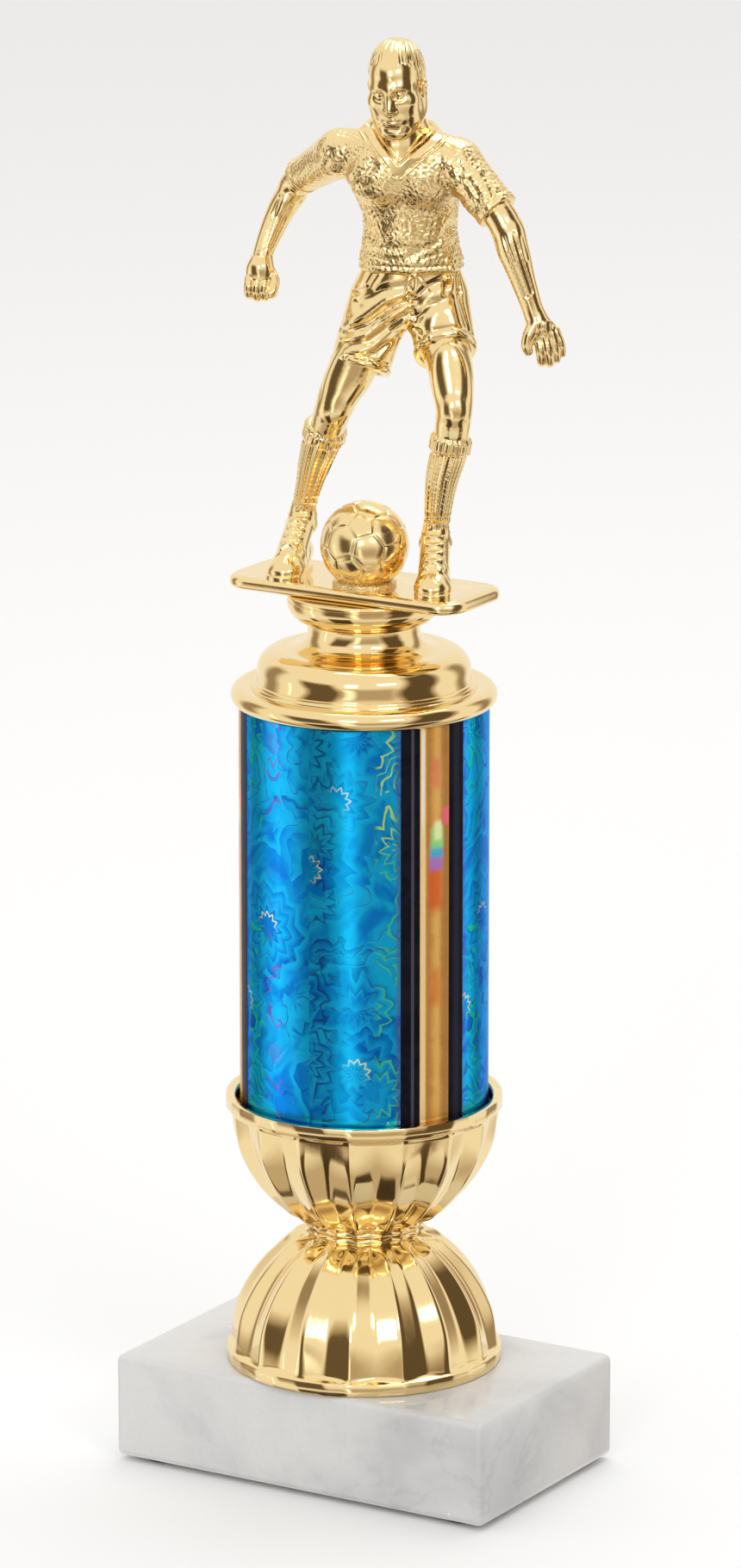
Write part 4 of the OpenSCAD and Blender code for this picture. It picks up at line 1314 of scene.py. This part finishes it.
def makeShorts(s):
    low, high, step = (-10, -14, 38), (26, 11, 68), s["step"]
    field = newField(low, high, step)
    stack(field, s["sections"], 0.5, 2.2)
    for stops, hem in ((s["rightAxis"], s["rightHem"]), (s["leftAxis"], s["leftHem"])):
        field["value"] = smoothMin(field["value"], legTube(low, high, step, stops, hem)["value"], 0.9)
    lump(field, (12.4, 5.0, 56.0), (5.4, 4.6, 5.6), 1.5)
    lump(field, (4.8, 5.4, 56.0), (5.4, 4.6, 5.6), 1.5)
    lump(field, (15.8, -9.6, 55.0), (2.6, 1.6, 4.6), 1.4, carve=True, roll=-12)
    for points, width, depth in s["folds"] + s["ridges"]:
        crease(field, points, width, depth, (-20, 1.5))
    for points, width, depth in (([(8.6, 63.0), (8.4, 53.0)], 0.5, 0.5), ([(0.0, 53.0), (-4.0, 50.0)], 0.8, 0.4),
                                 ([(12.0, 52.0), (18.0, 49.0)], 0.8, 0.4), ([(1.5, 60.0), (5.0, 57.0)], 0.9, 0.4)):
        crease(field, points, width, depth, (2, 14))
    # the legs are hollow at the hem, so that the thighs come out of them
    for stops in (s["rightAxis"], s["leftAxis"]):
        a, b = np.array(stops[1]), np.array(stops[2])
        limb(field, a[:3] * 0.45 + b[:3] * 0.55, b[3] - 1.6, b[:3] + (b[:3] - a[:3]) * 0.2, b[3] - 1.15, 0.3,
             carve=True)
    # waist cord with a small bow
    chain(field, [(9.6, -6.7, 64.2, 0.5), (9.0, -7.2, 62.8, 0.5), (8.2, -7.2, 61.2, 0.4)], 0.25)
    chain(field, [(10.2, -6.7, 64.2, 0.5), (11.4, -7.2, 62.8, 0.5), (12.4, -7.2, 61.6, 0.4)], 0.25)
    lump(field, (10.1, -7.1, 63.8), (0.85, 0.7, 0.7), 0.2)
    addPlayerPiece("shorts", field, playerGold)


makeShorts(shorts)


legs = {
    "step": 0.22, "sockStep": 0.17,
    # each course: x, y, z and radius
    "rightThigh": [(0.4, 1.6, 50.0, 5.2), (-2.4, 0.8, 43.0, 4.7), (-4.7, 0.2, 38.8, 4.15), (-6.2, 0.2, 35.0, 3.8),
                   (-7.1, 1.6, 32.0, 3.6)],
    "leftThigh": [(15.8, -2.2, 51.0, 5.2), (17.2, -5.4, 44.8, 4.6), (17.8, -7.8, 40.3, 4.1),
                  (18.0, -9.2, 36.8, 3.7), (17.6, -8.8, 32.6, 3.5)],
    "rightSock": [(-7.6, 2.8, 31.2, 3.8), (-8.6, 4.6, 27.4, 3.7), (-10.0, 7.0, 22.6, 3.1), (-11.4, 9.8, 16.6, 2.45),
                  (-12.3, 11.8, 12.0, 2.3), (-12.5, 12.2, 8.0, 2.4)],
    "leftSock": [(17.5, -8.2, 31.2, 3.6), (16.9, -8.0, 27.6, 3.55), (15.7, -7.2, 22.6, 3.15),
                 (15.0, -6.2, 17.0, 2.7), (14.6, -5.2, 12.0, 2.35), (14.4, -4.6, 8.0, 2.4)],
    "rightSockCalf": [(-8.8, 6.6, 27.0, 2.9), (-9.8, 8.4, 22.5, 2.5)],
    "leftSockCalf": [(16.8, -5.4, 27.0, 2.9), (15.9, -4.8, 22.5, 2.6)],
}


def sockField(stops, calf, step):
    points = np.array(stops, dtype=float)[:, :3]
    low, high = points.min(axis=0) - 6, points.max(axis=0) + 6
    field = newField(tuple(low), tuple(high), step)
    chain(field, stops, 0.8)
    chain(field, calf, 1.8)
    x, y, z = openAxes(field)
    centreX, centreY = (np.interp(z, points[::-1, 2], points[::-1, i]).astype(np.float32) for i in (0, 1))
    turn = np.arctan2(y - centreY, x - centreX)
    ribs = smoothStep(z, 9, 12) * smoothStep(z, 28.5, 27.5)
    press(field, 0.21 * np.cos(13 * turn) * ribs)
    # soft wrinkles above the boot
    wrinkle = smoothStep(z, 16.5, 13.5) * smoothStep(z, 8, 10)
    press(field, 0.15 * np.sin(z * 3.6 + 2.2 * np.sin(turn)) * wrinkle)
    # the turned cuff lies across the limb, with a beaded row on top
    axis = points[0] - points[1]
    axis = axis / np.linalg.norm(axis)
    middle = points[0] * 0.62 + points[1] * 0.38
    plane = (x - middle[0]) * axis[0] + (y - middle[1]) * axis[1] + (z - middle[2]) * axis[2]
    cuff = smoothStep(plane, -1.75, -1.35) * smoothStep(plane, 1.35, 0.95)
    press(field, -(0.62 * cuff + 0.10 * np.cos(30 * turn) * cuff))
    along = (turn * 26 / (2 * math.pi)) % 1.0 - 0.5
    ring = np.hypot(along * 0.95, plane - 1.45)
    bead = np.clip(1 - ring / 0.62, 0, 1)
    press(field, -(0.5 * bead * (2 - bead)))
    cutAway(field, (plane - 2.1).astype(np.float32), 0.4)
    return field


def makeLegs(g):
    field = newField((-13, -16, 27.5), (25, 9, 54), g["step"])
    chain(field, g["rightThigh"], 1.2)
    chain(field, g["leftThigh"], 1.2)
    # kneecaps with the muscle above them
    lump(field, (-6.2, -1.9, 35.2), (1.8, 1.1, 2.0), 2.4)
    lump(field, (18.0, -11.4, 37.0), (1.8, 1.1, 2.0), 2.4)
    lump(field, (-3.6, -1.8, 43.0), (2.6, 1.2, 4.6), 3.4, roll=-22)
    lump(field, (17.2, -8.8, 45.0), (2.6, 1.2, 4.6), 3.4, roll=4)
    for points in ([(-4.4, 33.4), (-6.4, 32.4), (-8.8, 33.2)], [(15.9, 34.9), (17.9, 34.0), (20.1, 34.7)]):
        crease(field, points, 0.9, 0.12, (-20, 0))
    addPlayerPiece("legs", field, playerGold)
    for name in ("rightSock", "leftSock"):
        addPlayerPiece(name, sockField(g[name], g[name + "Calf"], g["sockStep"]), playerGold, 4)


makeLegs(legs)


boots = {
    "step": 0.17,
    "rightHeel": (-13.7, 11.4), "rightToe": (-16.3, 1.6), "rightLean": (0.11, 0.05),
    "leftHeel": (14.1, -4.8), "leftToe": (13.7, -14.4), "leftLean": (0.03, -0.02),
    "shell": [(1.9, 0, 3.2, 3.1), (5.0, 0, 3.0, 3.2), (8.4, 0, 2.3, 3.1), (10.8, 0, 1.6, 2.5)],
    "instep": [(1.9, 0, 9.6, 2.9), (4.6, 0, 7.4, 3.0), (7.4, 0, 4.9, 3.0), (10.0, 0, 2.6, 2.6)],
}


def makeBoot(name, heel, toe, lean, b):
    # shaped along its own length: u from heel to toe, v to the left of that, then z
    field = newField((-2.5, -5.5, -0.4), (16.5, 5.5, 13.2), b["step"])
    chain(field, b["shell"], 1.0)
    chain(field, b["instep"], 1.2)
    limb(field, (1.9, 0, 9.5), 2.8, (1.9, 0, 12.2), 2.7, 0.8)
    # ankle bones and a padded collar round the top
    lump(field, (2.2, 2.6, 8.8), (1.1, 0.8, 1.2), 0.6)
    lump(field, (2.2, -2.6, 8.8), (1.1, 0.8, 1.2), 0.6)
    u, v, z = openAxes(field)
    press(field, -(0.14 * bell(z - 10.9 - 0.10 * u, 0.4)))
    press(field, 0.20 * bell(z - 1.5 - 0.05 * np.sin(u), 0.22))
    lump(field, (10.8, 0, 1.5), (4.2, 3.8, 2.4), 1.6)
    # toe cap seam, side panel seams and a heel counter
    for gap, depth in ((np.abs(u - 11.6 + 0.10 * v * v), 0.16), (np.abs(u - 4.4 + 0.35 * (z - 4)), 0.13),
                       (np.abs(u - 7.4 - 0.5 * (z - 3)), 0.10)):
        side = smoothStep(np.abs(v), 1.2, 1.8) if depth < 0.15 else 1.0
        press(field, depth * bell(gap, 0.2) * side * smoothStep(z, 1.2, 2.0))
    # tongue and criss-cross laces over the instep
    for i in range(4):
        start, rise = 4.9 + i * 1.45, 11.0 - i * 1.32
        for side in (-1, 1):
            chain(field, [(start, side * 1.5, rise - 0.5, 0.46), (start + 0.6, 0, rise - 0.42, 0.44),
                          (start + 1.2, -side * 1.5, rise - 1.6, 0.46)], 0.25)
    cutAway(field, (0.25 - z + 0 * u * v).astype(np.float32), 0.2)
    gap = np.hypot(u - np.clip(u, 2.0, 12.0), v) - (3.15 + 0.4 * smoothStep(u, 6, 11))
    slab = np.maximum(np.abs(z - 0.3) - 0.62, gap - 0.12)
    sole = (slab + 0 * field["value"]).astype(np.float32)
    field["value"] = smoothMin(field["value"], sole, 0.2)
    start, end = np.array(heel), np.array(toe)
    along = (end - start) / np.linalg.norm(end - start)
    left = np.array([-along[1], along[0]])

    def place(spots):
        flat = start + (spots[:, :1] - 1.9) * along + spots[:, 1:2] * left + spots[:, 2:] * np.array(lean)
        return np.column_stack([flat, spots[:, 2]])

    addPlayerPiece(name, field, playerGold, 1, place)


for side in ("right", "left"):
    makeBoot(side + "Boot", boots[side + "Heel"], boots[side + "Toe"], boots[side + "Lean"], boots)


arms = {
    "rightArm": {
        "low": (-25, 2, 60), "high": (-4, 18, 88), "step": 0.2,
        "course": [(-9.6, 8.0, 82.2, 3.2), (-13.6, 12.4, 79.2, 3.1), (-14.6, 13.4, 76.8, 3.1),
                   (-16.6, 12.6, 73.6, 2.8), (-18.4, 11.2, 70.0, 2.5), (-20.2, 9.4, 65.6, 2.05),
                   (-20.7, 8.5, 62.6, 2.0)],
        "muscles": [((-16.0, 12.0, 75.2), (2.2, 2.6, 4.0), 1.2, -25), ((-14.2, 15.2, 77.4), (1.6, 1.6, 1.6), 0.8, 0)],
        "hollows": [[(-16.8, 76.6), (-18.4, 72.0), (-20.0, 66.8)], [(-14.8, 75.0), (-16.8, 71.0), (-18.9, 66.6)]],
        "hollow": (0.34, 0.24, (-5, 11.5)),
    },
    "leftArm": {
        "low": (19, -21, 53), "high": (40, -3, 87), "step": 0.2,
        "course": [(23.0, -9.0, 81.4, 3.4), (26.8, -11.8, 77.0, 3.3), (28.4, -12.8, 74.0, 3.25),
                   (29.9, -14.2, 69.4, 3.1), (31.6, -15.0, 64.2, 2.5), (33.2, -15.5, 59.4, 2.15),
                   (34.2, -15.8, 56.6, 2.2)],
        "muscles": [((29.2, -13.8, 72.0), (2.4, 2.7, 4.2), 1.2, -14), ((30.0, -11.0, 75.2), (1.6, 1.6, 1.6), 0.8, 0)],
        "hollows": [[(27.6, 73.4), (29.6, 68.0), (32.2, 61.6)], [(29.6, 74.0), (31.2, 68.6), (33.2, 62.4)],
                    [(31.4, 73.0), (32.4, 68.8)]],
        "hollow": (0.36, 0.28, (-24, -15.2)),
    },
}


def makeArms(both):
    for name, a in both.items():
        field = newField(a["low"], a["high"], a["step"])
        chain(field, a["course"], 1.0)
        for centre, radii, soft, roll in a["muscles"]:
            lump(field, centre, radii, soft, roll=roll)
        for points in a["hollows"]:
            crease(field, points, *a["hollow"])
        addPlayerPiece(name, field, playerGold)


handStep = 0.14


def makeHands():
    # the right hand is half closed, the fingers bent down in front of the palm
    field = newField((-26, 2, 53), (-15, 13, 65), handStep)
    limb(field, (-20.6, 8.6, 63.6), 2.0, (-20.8, 7.9, 61.2), 2.2, 0.8)
    lump(field, (-20.9, 7.5, 61.3), (2.9, 2.1, 3.9), 1.0)
    limb(field, (-20.4, 9.0, 64.8), 2.1, (-20.8, 7.9, 62.6), 2.4, 1.0)
    for i in range(4):
        x = -23.2 + i * 1.55
        drop = (0.5, 0.0, 0.1, 0.6)[i]
        chain(field, [(x + 0.1, 6.6, 60.6 - 0.1 * i, 0.92), (x, 5.5, 58.6 + drop * 0.4, 0.98),
                      (x + 0.1, 6.0, 56.9 + drop, 0.92), (x + 0.5, 7.6, 56.8 + drop, 0.85)], 0.22)
        lump(field, (x + 0.05, 5.1, 59.3), (0.62, 0.5, 0.62), 0.3)
    chain(field, [(-18.6, 7.4, 61.6, 1.1), (-17.9, 5.9, 60.2, 1.0), (-18.3, 4.7, 58.4, 0.92),
                  (-18.9, 4.4, 57.6, 0.8)], 0.35)
    addPlayerPiece("rightHand", field, playerGold)

    # the left hand hangs open
    field = newField((29, -22, 44.5), (43, -10, 60), handStep)
    limb(field, (33.6, -15.6, 58.4), 2.1, (34.8, -15.9, 55.6), 2.3, 0.8)
    lump(field, (35.8, -15.9, 53.6), (2.9, 1.65, 3.2), 1.0, roll=20)
    fingers = [
        [(34.6, -16.4, 53.4, 1.05), (35.0, -17.2, 50.6, 1.0), (35.2, -16.8, 48.7, 0.95), (35.3, -16.2, 47.9, 0.85)],
        [(35.9, -16.5, 53.8, 1.05), (36.5, -17.2, 50.7, 1.0), (36.8, -16.8, 48.7, 0.96), (36.9, -16.2, 47.8, 0.86)],
        [(37.1, -16.4, 54.2, 1.0), (37.9, -16.9, 51.2, 0.96), (38.2, -16.5, 49.3, 0.92), (38.3, -16.0, 48.5, 0.82)],
        [(38.0, -16.0, 54.4, 0.95), (39.0, -16.4, 51.9, 0.88), (39.3, -16.0, 50.3, 0.82),
         (39.4, -15.6, 49.6, 0.75)],
    ]
    for finger in fingers:
        chain(field, finger, 0.24)
        x, y, z, _ = finger[0]
        lump(field, (x + 0.1, y - 0.6, z - 0.5), (0.6, 0.4, 0.7), 0.5)
    chain(field, [(34.0, -16.6, 56.0, 1.5), (32.8, -17.3, 53.6, 1.4), (32.3, -17.5, 51.7, 1.15),
                  (32.6, -17.3, 50.4, 0.95)], 0.7)
    for points in ([(34.6, 56.2), (34.4, 54.4)], [(35.8, 56.4), (35.8, 54.8)], [(37.0, 56.4), (37.2, 55.0)]):
        crease(field, points, 0.22, -0.16, (-22, -16))
    addPlayerPiece("leftHand", field, playerGold)


makeArms(arms)
makeHands()


# the head has its own space round its middle: x to its left ear, y to its back, z up
head = {
    "centre": (6.5, -7.6, 101.7), "turn": 15, "tip": 10, "roll": -3.5, "faceStep": 0.13, "neckStep": 0.22,
    "hairStep": 0.14, "hairlineTurn": [0, 14, 30, 44, 54, 62, 70, 84, 100, 118, 140, 180],
    "hairlineHeight": [4.9, 5.0, 5.3, 4.9, 3.4, 1.2, -0.6, -0.9, 1.6, -0.6, -4.6, -5.2],
}


def placeHead(spots):
    h = head
    turned = (Matrix.Rotation(math.radians(-h["turn"]), 3, "Z") @ Matrix.Rotation(math.radians(h["tip"]), 3, "X")
              @ Matrix.Rotation(math.radians(h["roll"]), 3, "Y"))
    return spots @ np.array(turned).T + np.array(h["centre"])


def bothSides(draw):
    for side in (-1, 1):
        draw(side)


def makeFace():
    f = newField((-7, -10.5, -12.5), (7, 9.5, 10.2), head["faceStep"])
    lump(f, (0, 1.4, 2.9), (5.0, 6.3, 6.0), 1.0)
    lump(f, (0, -1.6, -1.6), (4.9, 5.1, 7.2), 1.6)
    bothSides(lambda s: lump(f, (s * 2.7, -2.6, -4.4), (2.1, 2.3, 2.9), 1.8))
    lump(f, (0, -0.9, 3.2), (4.7, 5.1, 4.8), 1.6)
    # jaw and chin
    bothSides(lambda s: chain(f, [(s * 4.3, 1.6, -2.4, 1.3), (s * 3.9, 0.0, -5.4, 1.5), (s * 1.7, -3.9, -7.9, 1.4)],
                              1.8))
    lump(f, (0, -4.5, -7.7), (2.2, 1.6, 1.5), 1.6)
    # cheekbones and brow
    bothSides(lambda s: lump(f, (s * 3.2, -3.6, -1.4), (1.7, 1.6, 1.4), 2.0))
    bothSides(lambda s: chain(f, [(s * 0.6, -5.5, 1.5, 0.7), (s * 2.0, -5.25, 1.8, 0.72),
                                  (s * 3.5, -4.1, 1.4, 0.6)], 1.4))
    # eye sockets, eyes and lids
    bothSides(lambda s: lump(f, (s * 1.95, -6.35, 0.1), (1.35, 1.0, 0.8), 0.9, carve=True))
    bothSides(lambda s: lump(f, (s * 1.95, -4.85, 0.0), (1.02, 0.95, 0.85), 0.25))
    bothSides(lambda s: chain(f, [(s * 1.05, -5.45, 0.1, 0.16), (s * 1.95, -5.72, 0.52, 0.20),
                                  (s * 2.9, -5.25, 0.12, 0.15)], 0.22))
    bothSides(lambda s: chain(f, [(s * 1.1, -5.45, -0.2, 0.12), (s * 1.95, -5.66, -0.52, 0.14),
                                  (s * 2.8, -5.25, -0.2, 0.12)], 0.25))
    bothSides(lambda s: chain(f, [(s * 0.8, -6.1, 1.75, 0.18), (s * 1.9, -5.95, 2.1, 0.22),
                                  (s * 3.3, -4.9, 1.75, 0.16)], 0.4))
    # nose
    chain(f, [(0, -5.8, 1.2, 0.6), (0, -6.4, -0.6, 0.66), (0, -7.0, -2.2, 0.8), (0, -6.95, -2.7, 0.82)], 0.9)
    bothSides(lambda s: lump(f, (s * 0.85, -6.3, -2.75), (0.62, 0.85, 0.6), 0.5))
    bothSides(lambda s: lump(f, (s * 0.42, -6.9, -3.4), (0.22, 0.34, 0.22), 0.2, carve=True))
    # mouth, calm and closed
    lump(f, (0, -4.9, -4.9), (2.2, 1.4, 1.8), 1.0)
    bothSides(lambda s: chain(f, [(s * 0.2, -6.22, -4.62, 0.34), (s * 0.9, -6.02, -4.72, 0.31),
                                  (s * 1.6, -5.55, -4.95, 0.15)], 0.3))
    bothSides(lambda s: chain(f, [(0, -6.1, -5.42, 0.42), (s * 0.8, -5.97, -5.35, 0.37),
                                  (s * 1.5, -5.55, -5.08, 0.15)], 0.3))
    crease(f, [(-1.7, -4.96), (-0.8, -5.02), (0, -4.98), (0.8, -5.02), (1.7, -4.96)], 0.14, 0.16, (-9, -3))
    lump(f, (0, -6.4, -6.5), (1.3, 0.5, 0.4), 0.9, carve=True)
    # ears
    for s in (-1, 1):
        lump(f, (s * 5.0, 1.0, -0.6), (0.75, 1.5, 2.1), 0.4, roll=s * 8)
        lump(f, (s * 5.75, 0.7, -0.2), (0.5, 0.85, 1.25), 0.25, carve=True, roll=s * 8)
        chain(f, [(s * 5.45, -0.2, -1.2, 0.25), (s * 5.6, -0.3, 0.6, 0.27), (s * 5.65, 0.6, 1.4, 0.28),
                  (s * 5.6, 1.7, 0.9, 0.27), (s * 5.4, 2.0, -0.8, 0.25), (s * 5.2, 1.0, -2.3, 0.32)], 0.15)
    # neck
    chain(f, [(0, 2.0, -5.0, 4.1), (0.2, 3.2, -9.0, 4.3), (0.4, 4.0, -11.6, 4.6)], 1.2)
    addPlayerPiece("face", f, playerGold, 3, placeHead)


def makeNeck():
    field = newField((-2, -12, 82), (17, 5, 98), head["neckStep"])
    chain(field, [(6.6, -4.8, 97.4, 4.1), (7.0, -4.0, 93.0, 4.6), (7.3, -4.0, 89.4, 5.0), (6.9, -4.9, 85.5, 4.7)],
          1.0)
    chain(field, [(10.4, -4.2, 97.6, 0.9), (8.4, -7.4, 90.0, 0.8)], 0.8)
    chain(field, [(2.6, -4.6, 96.6, 0.9), (5.4, -7.6, 90.0, 0.8)], 0.8)
    lump(field, (7.6, -2.2, 91.2), (7.0, 3.8, 2.3), 1.8)
    addPlayerPiece("neck", field, playerGold)


def makeHair():
    field = newField((-6.6, -7.2, -6.6), (6.6, 9.4, 10.6), head["hairStep"])
    lump(field, (0, 1.4, 3.1), (5.5, 6.9, 6.55), 0.5)
    lump(field, (0, 3.0, -1.5), (4.6, 5.2, 4.8), 1.0)
    x, y, z = openAxes(field)
    # the hairline's height round the head, from the brow's middle to the nape
    facing = np.degrees(np.arctan2(np.abs(x), -(y - 0.6)))
    line = np.interp(facing, head["hairlineTurn"], head["hairlineHeight"]).astype(np.float32)
    edge = (line - z) * 0.72 + 0 * field["value"]
    # combed strands run from the hairline to the crown at the back
    fan = np.arctan2(x, y - 5.4 - 0.15 * z)
    strand = (0.55 * np.sin(fan * 46 + 1.4 * np.sin(z * 0.9 + fan * 5))
              + 0.45 * np.sin(fan * 83 + 2.0 * np.sin(y * 0.7)))
    press(field, 0.10 * strand)
    press(field, -(0.18 * bell(edge + 0.9, 0.8)))
    cutAway(field, edge, 0.35)
    addPlayerPiece("hair", field, playerGold, 0, placeHead)


makeFace()
makeNeck()
makeHair()


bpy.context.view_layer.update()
report("sizes written")
